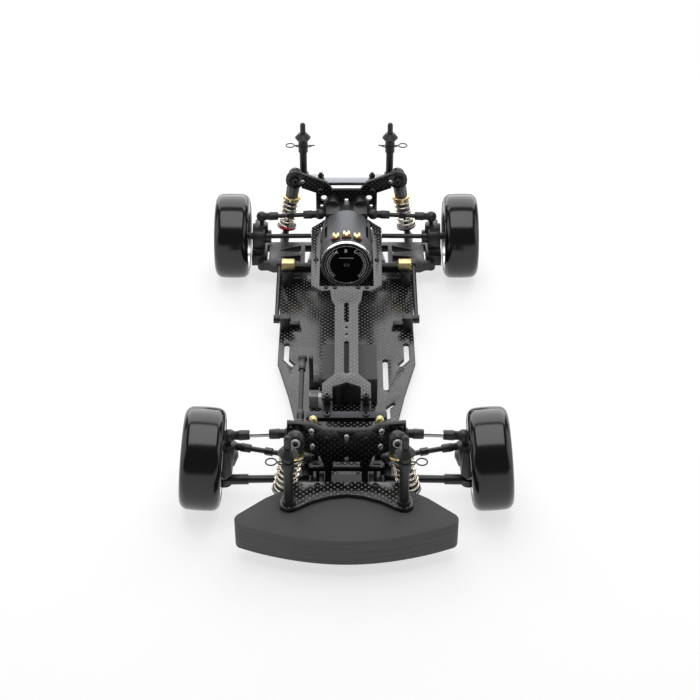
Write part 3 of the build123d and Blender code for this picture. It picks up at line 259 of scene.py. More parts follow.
def finish(key):
    """The finish of that name, built the first time that it is asked for."""
    known = bpy.data.materials.get(key)
    if known:
        return known
    c, tow = bpy.context.scene.drift_car_colours, bpy.context.scene.drift_car_sizes.tow
    finishes = {
        "woven_carbon": (woven_carbon, c, tow),
        # Upright plates: the same weave with its pale tow middles painted near black, as painted shade
        "woven_carbon_upright": (woven_carbon, c, tow, True),
        # Routed carbon, left dry: no shine
        "cut_carbon_edge": (painted, linear("#1a1a1b"), 0.6),
        "moulded_nylon": (moulded_nylon, c.plastic),
        # Moulded ABS with a fine matt grain
        "servo_shell": (moulded_nylon, linear("#1c1c1f"), 0.6),
        # Moulded phenolic under the solder tabs: matt, warm brown
        "red_brown": (moulded_nylon, linear("#5a2a20"), 0.5),
        "cut_foam": (cut_foam, c.foam),
        "hard_tyre": (hard_tyre, c.tyre),
        # Silver plating on a moulded wheel: smooth and even
        "silver_rim": (metal, c.rim, 0.22),
        # Blasted and anodised aluminium: satin, dyed black, grey or gold
        "black_anodised": (metal, linear("#3a3a3d"), 0.38, 0.05),
        "grey_anodised": (metal, linear("#7d7f83"), 0.32, 0.05),
        "gold_anodised": (metal, c.gold, 0.28, 0.04),
        # Turned aluminium: pale, with fine rings
        "bare_aluminium": (metal, c.aluminium, 0.3, 0.06),
        # Ground steel: bright and sharp
        "bright_steel": (metal, c.steel, 0.22, 0.04),
        # Steel with a black oxide skin under oil: dark with a soft shine
        "blackened_steel": (painted, c.black_steel, 0.3),
        # Drawn wire with pale plating
        "spring_wire": (metal, c.spring, 0.2),
        # Turned brass: warm, with a broad highlight
        "polished_brass": (metal, c.brass, 0.38, 0.04),
        # Mirror plating
        "polished_chrome": (metal, linear("#e8e9ea"), 0.06),
        # Drawn steel can, nickelled and dulled
        "grey_can": (metal, linear("#56575a"), 0.42, 0.05),
        # Clear cover over a black print: deep gloss
        "gloss_black": (painted, linear("#060607"), 0.08),
        # White print on the motor's face; on the servo mount's end the same white is a painted highlight
        "white_print": (painted, linear("#d8d8d8"), 0.5),
        "red_enamel": (painted, linear("#b01523"), 0.35),
        "grey_enamel": (painted, linear("#77787a"), 0.4),
    }
    maker, *given = finishes[key]
    return maker(key, *given)


# --- Meshes ----------------------------------------------------------------
def lathe(profile, start, way, segments=48):
    """Turns (distance along, radius) steps in mm about the line from start; a radius of 0
    closes an end. Returns corner points and faces."""
    way = Vector(way).normalized()
    turn = way.to_track_quat("Z", "Y")
    points, rings = [], []
    for distance, radius in profile:
        centre = start + way * (distance / 1000)
        if radius == 0:
            rings.append([len(points)])
            points.append(centre)
            continue
        first = len(points)
        for i in range(segments):
            a = 2 * math.pi * i / segments
            points.append(centre + turn @ Vector((math.cos(a), math.sin(a), 0)) * (radius / 1000))
        rings.append(list(range(first, first + segments)))
    faces = []
    pairs = list(zip(rings, rings[1:]))
    if len(rings[0]) > 1 and len(rings[-1]) > 1:
        pairs.append((rings[-1], rings[0]))
    for low, high in pairs:
        for i in range(segments):
            j = (i + 1) % segments
            if len(low) == 1:
                faces.append((low[0], high[j], high[i]))
            elif len(high) == 1:
                faces.append((low[i], low[j], high[0]))
            else:
                faces.append((low[i], low[j], high[j], high[i]))
    return points, faces


def tube(path, radius_mm, segments=8, closed=False):
    """Round wire along a path of points."""
    points, faces = [], []
    count = len(path)
    normal = None
    for k, here in enumerate(path):
        before = path[k - 1] if k or closed else here
        after = path[(k + 1) % count] if k + 1 < count or closed else here
        tangent = (after - before).normalized()
        if normal is None:
            normal = tangent.orthogonal().normalized()
        normal = (normal - tangent * normal.dot(tangent)).normalized()
        side = tangent.cross(normal)
        for i in range(segments):
            a = 2 * math.pi * i / segments
            points.append(here + (normal * math.cos(a) + side * math.sin(a)) * (radius_mm / 1000))
    for k in range(count if closed else count - 1):
        n = (k + 1) % count
        for i in range(segments):
            j = (i + 1) % segments
            faces.append((k * segments + i, k * segments + j, n * segments + j, n * segments + i))
    if not closed:
        faces.append(tuple(reversed(range(segments))))
        faces.append(tuple(range((count - 1) * segments, count * segments)))
    return points, faces


def cuboid(low, high):
    """Box between two corners given in metres."""
    (x0, y0, z0), (x1, y1, z1) = low, high
    points = [Vector(p) for p in ((x0, y0, z0), (x1, y0, z0), (x1, y1, z0), (x0, y1, z0),
                                  (x0, y0, z1), (x1, y0, z1), (x1, y1, z1), (x0, y1, z1))]
    faces = [(3, 2, 1, 0), (4, 5, 6, 7), (0, 1, 5, 4), (1, 2, 6, 5), (2, 3, 7, 6), (3, 0, 4, 7)]
    return points, faces


def mesh_from(parts):
    """One bmesh of several (points, faces) parts, with its faces turned outwards."""
    bm = bmesh.new()
    for points, faces in parts:
        made = [bm.verts.new(p) for p in points]
        for face in faces:
            bm.faces.new([made[i] for i in face])
    bmesh.ops.recalc_face_normals(bm, faces=bm.faces)
    return bm


def box_of(bm):
    """Low and high corners of a shape."""
    co = np.array([v.co for v in bm.verts])
    return co.min(0), co.max(0)


def soften(bm, width, angle=40):
    """Breaks the sharp edges by width, unless that would spoil the shape."""
    most_spill, most_change, merge = 2e-5, 0.06, 1e-7
    trial = bm.copy()
    sharp = [e for e in trial.edges
             if len(e.link_faces) == 2 and e.calc_face_angle(0.0) > math.radians(angle)]
    if not sharp:
        trial.free()
        return bm
    low, high = box_of(bm)
    volume = bm.calc_volume(signed=True)
    bmesh.ops.bevel(trial, geom=sharp, offset=width, segments=2, profile=0.5, affect="EDGES",
                    clamp_overlap=True)
    bmesh.ops.remove_doubles(trial, verts=trial.verts, dist=merge)
    low2, high2 = box_of(trial)
    spill = max(float((low - low2).max()), float((high2 - high).max()))
    change = abs(trial.calc_volume(signed=True) - volume) / max(abs(volume), 1e-15)
    if spill > most_spill or change > most_change:
        trial.free()
        return bm
    bm.free()
    return trial


def cad_islands(node):
    """Merged copy of a CAD node's mesh, one bmesh per loose solid, largest first."""
    bm = bmesh.new()
    bm.from_mesh(frame["nodes"][node].data)
    bmesh.ops.remove_doubles(bm, verts=bm.verts, dist=2e-7)
    bm.verts.index_update()
    seen, groups = set(), []
    for vert in bm.verts:
        if vert in seen:
            continue
        group, stack = [], [vert]
        seen.add(vert)
        while stack:
            here = stack.pop()
            group.append(here)
            for edge in here.link_edges:
                other = edge.other_vert(here)
                if other not in seen:
                    seen.add(other)
                    stack.append(other)
        groups.append(group)
    result = []
    for group in groups:
        part = bmesh.new()
        new = {v: part.verts.new(v.co) for v in group}
        for face in dict.fromkeys(f for v in group for f in v.link_faces):
            if len({new[v] for v in face.verts}) == len(face.verts):
                try:
                    part.faces.new([new[v] for v in face.verts])
                except ValueError:
                    continue
        bmesh.ops.dissolve_limit(part, angle_limit=math.radians(0.6), verts=part.verts, edges=part.edges)
        result.append(part)
    bm.free()
    result.sort(key=lambda part: -abs(part.calc_volume()))
    return result


def joined(parts):
    """One bmesh of several, which are used up."""
    bm = bmesh.new()
    for part in parts:
        copy = bpy.data.meshes.new("part")
        part.to_mesh(copy)
        part.free()
        bm.from_mesh(copy)
        bpy.data.meshes.remove(copy)
    return bm


def as_bmesh(mesh):
    """A bmesh of a mesh, which is used up, with its faces turned outwards."""
    bm = bmesh.new()
    bm.from_mesh(mesh)
    bpy.data.meshes.remove(mesh)
    bmesh.ops.recalc_face_normals(bm, faces=bm.faces)
    return bm


def new_object(name, data):
    """A new object in the scene's own collection."""
    obj = bpy.data.objects.new(name, data)
    bpy.context.scene.collection.objects.link(obj)
    return obj


def plain_mesh(obj):
    """The mesh that an object and its modifiers make; the object itself is removed."""
    bpy.context.view_layer.update()
    evaluated = obj.evaluated_get(bpy.context.evaluated_depsgraph_get())
    mesh = bpy.data.meshes.new_from_object(evaluated)
    obj.modifiers.clear()
    bpy.data.objects.remove(obj)
    return mesh


SLOTS = {"moulded_nylon": "black_plastic", "blackened_steel": "black_steel", "bright_steel": "bright_steel",
         "bare_aluminium": "bright_steel", "woven_carbon": "carbon", "woven_carbon_upright": "carbon",
         "cut_foam": "foam", "hard_tyre": "tyre", "silver_rim": "rim", "gold_anodised": "spring_steel",
         "spring_wire": "spring_steel", "grey_can": "motor_steel", "servo_shell": "servo_grey"}


def place(name, bm, finish_key, body="chassis", nodes=(), smooth=38, slot=None, free=False):
    """Makes a finished piece of a bmesh: finish, smooth shading, its body and the CAD nodes that it
    stands for; its slot is worked out but not used. A free piece rides no body."""
    mesh = bpy.data.meshes.new(name)
    bm.to_mesh(mesh)
    bm.free()
    mesh.materials.append(finish(finish_key))
    mesh.shade_smooth()
    mesh.set_sharp_from_angle(angle=math.radians(smooth))
    obj = new_object(name, mesh)
    if not free:
        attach(obj, body)
    if nodes:
        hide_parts(*nodes)
    slot = slot or SLOTS.get(finish_key)
    return obj


def dress(node, finish_key, edge=None, slot=None):
    """Carries a CAD node over with its edges broken and its finish on; an edge of 0 leaves
    turned pieces as they are."""
    edge = bpy.context.scene.drift_car_sizes.edge if edge is None else edge
    parts = [soften(part, edge) if edge else part for part in cad_islands(node)]
    smooth = 35 if edge else 40
    place(node + ".dressed", joined(parts), finish_key, NODE_BODY[node], [node], smooth, slot)


def place_plate(name, bm, node, upright=False):
    """A carbon plate of the chassis: woven faces, and matt cut edges all round."""
    bm = soften(bm, bpy.context.scene.drift_car_sizes.edge)
    # Upright plates take the weave whose tow middles are painted near black, as painted shade
    weave = "woven_carbon_upright" if upright else "woven_carbon"
    obj = place(name, bm, weave, nodes=[node], smooth=30)
    obj.data.materials.append(finish("cut_carbon_edge"))
    axis = 1 if upright else 2
    for polygon in obj.data.polygons:
        polygon.material_index = 0 if abs(polygon.normal[axis]) > 0.95 else 1


# --- Geometry Nodes --------------------------------------------------------
SOCKETS = {float: "NodeSocketFloat", int: "NodeSocketInt", bpy.types.Object: "NodeSocketObject",
           bpy.types.Material: "NodeSocketMaterial"}


def new_tree(name, inputs):
    """An empty Geometry Nodes tree with named inputs; returns it and its input sockets."""
    tree = bpy.data.node_groups.new(name, "GeometryNodeTree")
    tree.interface.new_socket("Geometry", in_out="INPUT", socket_type="NodeSocketGeometry")
    for label, value in inputs.items():
        kind = value if isinstance(value, type) else type(value)
        socket = tree.interface.new_socket(label, in_out="INPUT", socket_type=SOCKETS[kind])
        if not isinstance(value, type):
            socket.default_value = value
    tree.interface.new_socket("Geometry", in_out="OUTPUT", socket_type="NodeSocketGeometry")
    return tree, tree.nodes.new("NodeGroupInput").outputs


def end_tree(tree, geometry, material):
    """Closes a tree with real copies and its finish."""
    real = add_node(tree, "GeometryNodeRealizeInstances", {"Geometry": geometry})
    tinted = add_node(tree, "GeometryNodeSetMaterial", {"Geometry": real, "Material": material})
    add_node(tree, "NodeGroupOutput", {0: tinted})
    return tree


def spring_coil(name):
    """A round wire wound in a helix along Z, from 0 to Height, with closed ends."""
    tree, given = new_tree(name, {"Turns": 6.0, "Radius": 0.006, "Wire": 0.0006,
                                  "Height": 0.025, "Material": bpy.types.Material})
    helix = add_node(tree, "GeometryNodeCurveSpiral", {
        "Resolution": 36, "Rotations": given["Turns"], "Start Radius": given["Radius"],
        "End Radius": given["Radius"], "Height": given["Height"]})
    ring = add_node(tree, "GeometryNodeCurvePrimitiveCircle", {"Resolution": 10, "Radius": given["Wire"]})
    swept = add_node(tree, "GeometryNodeCurveToMesh", {
        "Curve": helix, "Profile Curve": ring, "Fill Caps": True})
    return end_tree(tree, swept, given["Material"])


def thread_ridges(name):
    """Round ridges at an even pitch along Z, as on a threaded body."""
    tree, given = new_tree(name, {"Count": 12, "Pitch": 0.00075, "Radius": 0.0048,
                                  "Ridge": 0.0002, "Material": bpy.types.Material})
    step = add_node(tree, "ShaderNodeCombineXYZ", {"Z": given["Pitch"]})
    line = add_node(tree, "GeometryNodeMeshLine", {"Count": given["Count"], "Offset": step}, mode="OFFSET")
    big = add_node(tree, "GeometryNodeCurvePrimitiveCircle", {"Resolution": 40, "Radius": given["Radius"]})
    small = add_node(tree, "GeometryNodeCurvePrimitiveCircle", {"Resolution": 6, "Radius": given["Ridge"]})
    ring = add_node(tree, "GeometryNodeCurveToMesh", {"Curve": big, "Profile Curve": small})
    copies = add_node(tree, "GeometryNodeInstanceOnPoints", {"Points": line, "Instance": ring})
    return end_tree(tree, copies, given["Material"])


def fastener_set(name):
    """One fastener at each given point, turned so that its head looks along the point's axis."""
    tree, given = new_tree(name, {"Fastener": bpy.types.Object, "Material": bpy.types.Material})
    source = add_node(tree, "GeometryNodeObjectInfo", {"Object": given["Fastener"]}, "Geometry")
    axis = add_node(tree, "GeometryNodeInputNamedAttribute", {"Name": "axis"}, data_type="FLOAT_VECTOR")
    turn = add_node(tree, "FunctionNodeAlignRotationToVector", {"Vector": axis}, axis="Z")
    size = add_node(tree, "GeometryNodeInputNamedAttribute", {"Name": "size"}, data_type="FLOAT")
    copies = add_node(tree, "GeometryNodeInstanceOnPoints", {
        "Points": given["Geometry"], "Instance": source, "Rotation": turn, "Scale": size})
    return end_tree(tree, copies, given["Material"])


def run_tree(make, values, base=None):
    """Runs a tree with these inputs and returns the plain mesh that it makes."""
    tree = bpy.data.node_groups.get(make.__name__) or make(make.__name__)
    holder = new_object("holder", base or bpy.data.meshes.new("holder"))
    modifier = holder.modifiers.new("made", "NODES")
    modifier.node_group = tree
    for item in tree.interface.items_tree:
        if item.in_out == "INPUT" and item.name in values:
            modifier[item.identifier] = values[item.name]
    return plain_mesh(holder)


def button_head():
    """Button screw head about Z, radius 1 mm, with a hexagon socket."""
    around, rim_z, floor_z, socket_r = 24, 0.58, 0.2, 0.44
    profile = [(-0.25, 0.0), (-0.25, 0.95), (0.0, 1.0), (0.25, 0.93), (0.5, 0.72), (rim_z, 0.5)]
    points, faces = lathe(profile, Vector((0, 0, 0)), (0, 0, 1), around)
    rim = len(points)
    for height in (rim_z, floor_z):
        for i in range(around):
            a = 2 * math.pi * i / around
            reach = socket_r * math.cos(math.pi / 6) / math.cos(a % (math.pi / 3) - math.pi / 6)
            points.append(Vector((math.cos(a) * reach, math.sin(a) * reach, height)) / 1000)
    points.append(Vector((0, 0, floor_z)) / 1000)
    outer, floor = rim - around, rim + around
    for i in range(around):
        j = (i + 1) % around
        faces.append((outer + i, outer + j, rim + j, rim + i))
        faces.append((rim + i, rim + j, floor + j, floor + i))
        faces.append((floor + i, floor + j, floor + around))
    return points, faces


def fasteners(name, finish_key, rows):
    """Button screws of the chassis as one piece; rows hold place in mm, axis and head radius in mm."""
    source = bpy.data.meshes.new("head")
    bm = mesh_from([button_head()])
    bm.to_mesh(source)
    bm.free()
    head = new_object("head", source)
    base = bpy.data.meshes.new("places")
    base.from_pydata([mm(*spot) for spot, _, _ in rows], [], [])
    axes = base.attributes.new("axis", "FLOAT_VECTOR", "POINT")
    axes.data.foreach_set("vector", np.array([axis for _, axis, _ in rows], np.float32).ravel())
    sizes = base.attributes.new("size", "FLOAT", "POINT")
    sizes.data.foreach_set("value", np.array([radius for _, _, radius in rows], np.float32))
    mesh = run_tree(fastener_set, {"Fastener": head, "Material": finish(finish_key)}, base)
    bpy.data.objects.remove(head)
    place(name, as_bmesh(mesh), finish_key, smooth=35)


def along_line(mesh, start, way):
    """Moves a mesh made about Z so that it starts at a point and runs along a line."""
    turn = way.normalized().to_track_quat("Z", "Y").to_matrix().to_4x4()
    mesh.transform(Matrix.Translation(start) @ turn)
    return mesh


# --- Pieces ----------------------------------------------------------------
class DRIFT_CAR_OT_plates(bpy.types.Operator):
    """Main plate, upper deck, bumper brace and both shock towers, in woven carbon"""
    bl_idname = "drift_car.plates"
    bl_label = "Carbon Plates"

    def execute(self, context):
        edge = context.scene.drift_car_sizes.edge
        plate, *posts = cad_islands("chassis_plate")
        place_plate("main_plate", plate, "chassis_plate")
        posts = joined([soften(post, edge) for post in posts])
        place("battery_posts", posts, "moulded_nylon")
        place_plate("upper_deck_plate", cad_islands("upper_deck")[0], "upper_deck")
        brace, tray = sorted(cad_islands("bumper_brace"), key=lambda part: -box_of(part)[1][2])
        place_plate("bumper_brace_plate", brace, "bumper_brace")
        place("bumper_tray", soften(tray, edge), "moulded_nylon")
        tower, *screws = cad_islands("front_shock_tower")
        place_plate("front_tower_plate", tower, "front_shock_tower", upright=True)
        for index, screw in enumerate(screws):
            place(f"front_tower_screw_{index}", screw, "bright_steel")
        tower, brace, *screws = cad_islands("rear_shock_tower")
        place_plate("rear_tower_plate", tower, "rear_shock_tower", upright=True)
        place("rear_tower_brace", soften(brace, edge), "grey_anodised", slot="black_plastic")
        for index, screw in enumerate(screws):
            place(f"rear_tower_screw_{index}", screw, "blackened_steel")
        self.brace_nuts(19, 287, 63.95)
        return {"FINISHED"}

    def brace_nuts(self, x, y, z):
        """A hexagon nut on each end of the rear brace, with the end of its screw showing."""
        nut = [(0, 0), (0, 2.4), (1.8, 2.4), (2.2, 2.1), (2.2, 1.4), (3.6, 1.2), (3.6, 0)]
        nuts = mesh_from([lathe(nut, mm(side * x, y, z), (0, 0, 1), 6) for side in (-1, 1)])
        place("brace_nuts", nuts, "blackened_steel")


class DRIFT_CAR_OT_bumper(bpy.types.Operator):
    """Foam bumper with softly rounded cut edges"""
    bl_idname = "drift_car.bumper"
    bl_label = "Foam Bumper"

    def execute(self, context):
        foam = soften(cad_islands("bumper_foam")[0], context.scene.drift_car_sizes.foam_edge, 30)
        obj = place("foam_bumper", foam, "cut_foam", nodes=["bumper_foam"], smooth=50)
        return {"FINISHED"}


class DRIFT_CAR_OT_body_posts(bpy.types.Operator):
    """Four body posts and their wire clips"""
    bl_idname = "drift_car.body_posts"
    bl_label = "Body Posts"
    CLIP_HEIGHT = 0.01  # a solid lower than this is a clip

    def execute(self, context):
        posts, clips = [], []
        for part in cad_islands("body_posts"):
            low, high = box_of(part)
            if high[2] - low[2] < self.CLIP_HEIGHT:
                clips.append(self.clip(low, high, context.scene.drift_car_sizes.clip_wire * 500))
                part.free()
            else:
                posts.append(part)
        place("body_post_set", joined(posts), "moulded_nylon", nodes=["body_posts"], smooth=40)
        place("body_clips", mesh_from(clips), "blackened_steel")
        return {"FINISHED"}

    def clip(self, low, high, wire_r):
        """Wire clip: loop outside the post, one leg through it and one bowed round it."""
        middle = (Vector(low) + Vector(high)) / 2
        side = 1 if middle.x > 0 else -1
        outer, inner = (high[0], low[0]) if side > 0 else (low[0], high[0])
        outer, inner = outer * 1000, inner * 1000
        y, z = (middle.y - FRONT_AXLE_Y) * 1000, middle.z * 1000
        loop_r = 3.1
        path = [mm(inner, y, z), mm(inner + side * 4, y, z), mm(outer - side * 6.6, y, z)]
        for degrees in range(-150, 151, 25):
            a = math.radians(degrees)
            path.append(mm(outer - side * loop_r * (1 - math.cos(a)), y + loop_r * math.sin(a), z))
        path += [mm(outer - side * 7.5, y - 2.4, z + 0.4), mm(outer - side * 11, y - 3.9, z + 0.5),
                 mm(inner + side * 4, y - 3.6, z + 0.6), mm(inner + side * 0.6, y - 1.6, z + 1.2)]
        return tube(path, wire_r, 8)


class DRIFT_CAR_OT_wheels(bpy.types.Operator):
    """Four smooth drift tyres on silver spoked wheels"""
    bl_idname = "drift_car.wheels"
    bl_label = "Wheels and Tyres"

    def execute(self, context):
        for end in ("front", "rear"):
            for side, outwards in SIDES:
                self.wheel(end, side, outwards, context.scene.drift_car_sizes.edge)
        return {"FINISHED"}

    def wheel(self, end, side, outwards, edge):
        """Tyre, rim and stub axle of one wheel; the wheel's body and CAD node share a name."""
        joint = JOINTS[f"{end}_wheel_spin_{side}"]
        wheel = f"{end}_wheel_{side}"
        axle = Vector(joint["axis"]) * outwards
        tyre = mesh_from([lathe(self.tyre_profile(), Vector(joint["pos_m"]), axle, 128)])
        place(f"{end}_tyre_skin_{side}", tyre, "hard_tyre", wheel, [f"{end}_tyre_{side}"], 50)
        rim, *stubs = cad_islands(wheel)
        place(f"{end}_rim_{side}", soften(rim, edge), "silver_rim", wheel, [wheel], 40)
        for index, stub in enumerate(stubs):
            place(f"{end}_stub_axle_{side}_{index}", stub, "blackened_steel", wheel)

    def tyre_profile(self):
        """Section of a tyre as (distance along the axle, radius) in mm, its tread lightly crowned."""
        half, top, shoulder, bead_half, bead, lip, crown = 12.25, 30.75, 5.4, 11.0, 24.4, 0.8, 0.25
        quarter = [math.pi / 2 * k / 10 for k in range(11)]
        corner = [(half - shoulder * (1 - math.cos(a)), top - shoulder * (1 - math.sin(a))) for a in quarter]
        tread = [k / 6 - 1 for k in range(1, 12)]
        return ([(-bead_half, bead), (-bead_half, bead + lip)] + [(-along, r) for along, r in corner]
                + [(across * (half - shoulder), top + crown * (1 - across * across)) for across in tread]
                + corner[::-1] + [(bead_half, bead + lip), (bead_half, bead)])


class DRIFT_CAR_OT_shocks(bpy.types.Operator):
    """Four coil-over shocks: cap, threaded body, gold collar, spring, cup and rod"""
    bl_idname = "drift_car.shocks"
    bl_label = "Shock Absorbers"
    # Places along a shock are in mm from its upper eye, the cup's from its lower eye. Radii are in mm.
    COLLAR = {"front": 10.2, "rear": 17.4}
    CUP = {"front": 5.6, "rear": 11.6}
    CAP_END, THREAD_START, THREAD_TURNS = 8.1, 10.2, 27
    BARREL_R, ROD_R, COIL_R, CUP_R, LOWER_EYE_R = 4.6, 1.5, 6.4, 7.1, 3.4

    def execute(self, context):
        for end in ("front", "rear"):
            for side, _ in SIDES:
                self.shock(end, side, context.scene.drift_car_sizes)
        return {"FINISHED"}

    def shock(self, end, side, sizes):
        """One shock on the line from its upper eye to its lower one."""
        name = f"{end}_shock_{{}}_{side}".format
        line = Vector(JOINTS[name("swing")]["pos_m"]), Vector(JOINTS[name("travel")]["axis"])
        lower_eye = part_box(name("shaft"))[0].z + self.LOWER_EYE_R / 1000
        reach = 1000 * (line[0].z - lower_eye) / -line[1].z
        cup = reach - self.CUP[end]
        self.barrel(name, line, self.COLLAR[end], sizes)
        self.spring(name, line, f"{end}_coil_{side}", f"{end}_spring_{side}",
                    self.COLLAR[end] + 2.15, cup - 0.05, sizes)
        self.foot(name, line, cup)
        if (end, side) == ("rear", "right"):
            self.mark(line, cup + 0.45, name("shaft"))
        start, stop = 19, reach - 2.5
        rod = mesh_from([lathe([(start, 0), (start, self.ROD_R), (stop, self.ROD_R), (stop, 0)], *line, 24)])
        place(name("rod"), rod, "polished_chrome", name("shaft"), slot="bright_steel")

    def barrel(self, name, line, c, sizes):
        """Cap, threaded barrel and gold collar, which hang from the tower."""
        (eye, way), body = line, name("body")
        cap = self.cut(cad_islands(body)[0], eye + way * (self.CAP_END / 1000), way)
        place(name("cap"), cap, "moulded_nylon", body, [body], 40)
        r = self.BARREL_R
        barrel = lathe([(8.0, 0), (8.0, r + 0.3), (9.3, r + 0.3), (9.5, r), (31, r), (31, r + 0.4),
                        (33.4, r + 0.4), (34, r - 0.2), (34, 0)], eye, way, 40)
        place(name("barrel"), mesh_from([barrel]), "grey_anodised", body)
        ridges = run_tree(thread_ridges, {"Count": self.THREAD_TURNS, "Pitch": sizes.thread_pitch,
                                          "Radius": (r + 0.02) / 1000, "Ridge": 0.0002,
                                          "Material": finish("grey_anodised")})
        along_line(ridges, eye + way * (self.THREAD_START / 1000), way)
        place(name("thread"), as_bmesh(ridges), "grey_anodised", body)
        nut = [(c, 4.8), (c, 6.8), (c + 0.4, 7.4), (c + 1.6, 7.4), (c + 2.0, 6.9), (c + 2.1, 4.8)]
        step = [(c + 2.1, 4.8), (c + 2.1, 5.5), (c + 4.0, 5.5), (c + 4.3, 5.2), (c + 4.3, 4.8)]
        collar = mesh_from([lathe(profile, eye, way, 40) for profile in (nut, step)])
        place(name("collar"), collar, "gold_anodised", body)

    def spring(self, name, line, piece, node, top, bottom, sizes):
        """Coil spring between the body and the rod's cup, made as one piece that rides no body."""
        eye, way = line
        start, stop = top + sizes.wire * 500, bottom - sizes.wire * 500
        coil = run_tree(spring_coil, {"Turns": sizes.spring_turns, "Radius": self.COIL_R / 1000,
                                      "Wire": sizes.wire / 2, "Height": (stop - start) / 1000,
                                      "Material": finish("spring_wire")})
        start, stop = eye + way * (start / 1000), eye + way * (stop / 1000)
        along_line(coil, start, way)
        body, rod = name("body"), name("shaft")
        obj = place(piece, as_bmesh(coil), "spring_wire", body, [node], 60, free=True)
        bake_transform(obj)

    def foot(self, name, line, c):
        """Lower eye, spring cup and its steel band, which move with the arm."""
        (eye, way), rod = line, name("shaft")
        part = self.cut(cad_islands(rod)[0], eye + way * ((c + 1.7) / 1000), -way)
        place(name("foot"), part, "moulded_nylon", rod, [rod], 40)
        r, bore = self.CUP_R, self.ROD_R + 0.1
        cup = [(c, bore), (c, r), (c + 0.9, r), (c + 1.8, r - 0.9), (c + 1.8, bore)]
        place(name("cup"), mesh_from([lathe(cup, eye, way, 40)]), "moulded_nylon", rod)
        band = [(c + 0.1, r - 0.2), (c + 0.1, r + 0.2), (c + 0.8, r + 0.2), (c + 0.8, r - 0.2)]
        place(name("cup_band"), mesh_from([lathe(band, eye, way, 40)]), "bright_steel", rod)

    def mark(self, line, along, body):
        """Red paint mark on the front of the lowest turn, which tells the spring's rate."""
        eye, way = line
        ahead = (Vector((0, -1, 0)) + way * way.y).normalized()
        side = way.cross(ahead)
        centre, reach = eye + way * (along / 1000), self.CUP_R / 1000
        turns = [math.radians(degrees) for degrees in range(-50, 47, 12)]
        path = [centre + (ahead * math.cos(a) + side * math.sin(a)) * reach for a in turns]
        place("spring_mark", mesh_from([tube(path, 0.75, 8)]), "red_enamel", body)

    def cut(self, bm, point, way):
        """Cuts a shape at a plane across the shock and drops what lies beyond it."""
        geom = [*bm.verts, *bm.edges, *bm.faces]
        made = bmesh.ops.bisect_plane(bm, geom=geom, plane_co=point, plane_no=way, clear_outer=True)
        rim = [e for e in made["geom_cut"] if isinstance(e, bmesh.types.BMEdge)]
        bmesh.ops.contextual_create(bm, geom=rim)
        return bm


def link_pieces(node, ends, rod_key, cup_r, hexagon=False, slot=None):
    """Threaded link between two ball centres: its rod, with or without a hexagon, as one piece,
    and the moulded cups on its ends as another."""
    a, b = ends
    span, way = (b - a).length * 1000, (b - a).normalized()
    parts = [lathe([(6, 0), (6, 1.6), (span - 6, 1.6), (span - 6, 0)], a, way, 24)]
    if hexagon:
        m = span / 2
        parts.append(lathe([(m - 2.5, 0), (m - 2.5, 2.2), (m - 2.2, 2.5), (m + 2.2, 2.5), (m + 2.5, 2.2),
                            (m + 2.5, 0)], a, way, 6))
    place(node + ".rod", mesh_from(parts), rod_key, NODE_BODY[node], [node], 40, slot)
    sleeve = [(0, 0), (0, cup_r * 0.66), (5.5, cup_r * 0.7), (6.0, cup_r * 0.8), (11.4, cup_r * 0.76),
              (12, cup_r * 0.68), (12, 0)]
    ball = [(-cup_r * math.cos(t), cup_r * math.sin(t)) for t in np.linspace(0, math.pi, 15)]
    ball[0], ball[-1] = (-cup_r, 0), (cup_r, 0)
    cups = []
    for start, towards in ((a, way), (b, -way)):
        cups += [lathe(sleeve, start, towards, 28), lathe(ball, start, (0, 0, 1), 28)]
    place(node + ".cups", mesh_from(cups), "moulded_nylon", NODE_BODY[node])


class DRIFT_CAR_OT_suspension(bpy.types.Operator):
    """Arms, knuckles, hubs, links and driveshafts"""
    bl_idname = "drift_car.suspension"
    bl_label = "Suspension"

    def execute(self, context):
        for side, _ in SIDES:
            dress(f"front_arm_{side}", "blackened_steel", 0)
            for node in ("rear_arm", "front_knuckle", "rear_hub"):
                dress(f"{node}_{side}", "moulded_nylon")
            dress(f"kingpin_ball_{side}", "bright_steel", 0)
            dress(f"driveshaft_{side}", "blackened_steel", 0)
            for node, rod_key, cup_r, hexagon in (("front_upper_link", "bare_aluminium", 3.9, False),
                                                  ("rear_upper_link", "blackened_steel", 3.9, True),
                                                  ("tie_rod", "blackened_steel", 3.4, True)):
                node = f"{node}_{side}"
                link_pieces(node, self.ends(node, cup_r / 1000), rod_key, cup_r, hexagon)
        dress("front_bulkhead", "moulded_nylon")
        return {"FINISHED"}

    def ends(self, node, r):
        """Centres of the two ball cups, from the points of the solid that lie farthest out."""
        co = np.array([v.co for v in frame["nodes"][node].data.vertices])
        found = []
        for x in (co[:, 0].min() + r, co[:, 0].max() - r):
            near = co[np.abs(co[:, 0] - x) < r]
            y, z = (near.min(0) + near.max(0))[1:] / 2
            found.append(Vector((x, y, z)))
        return found


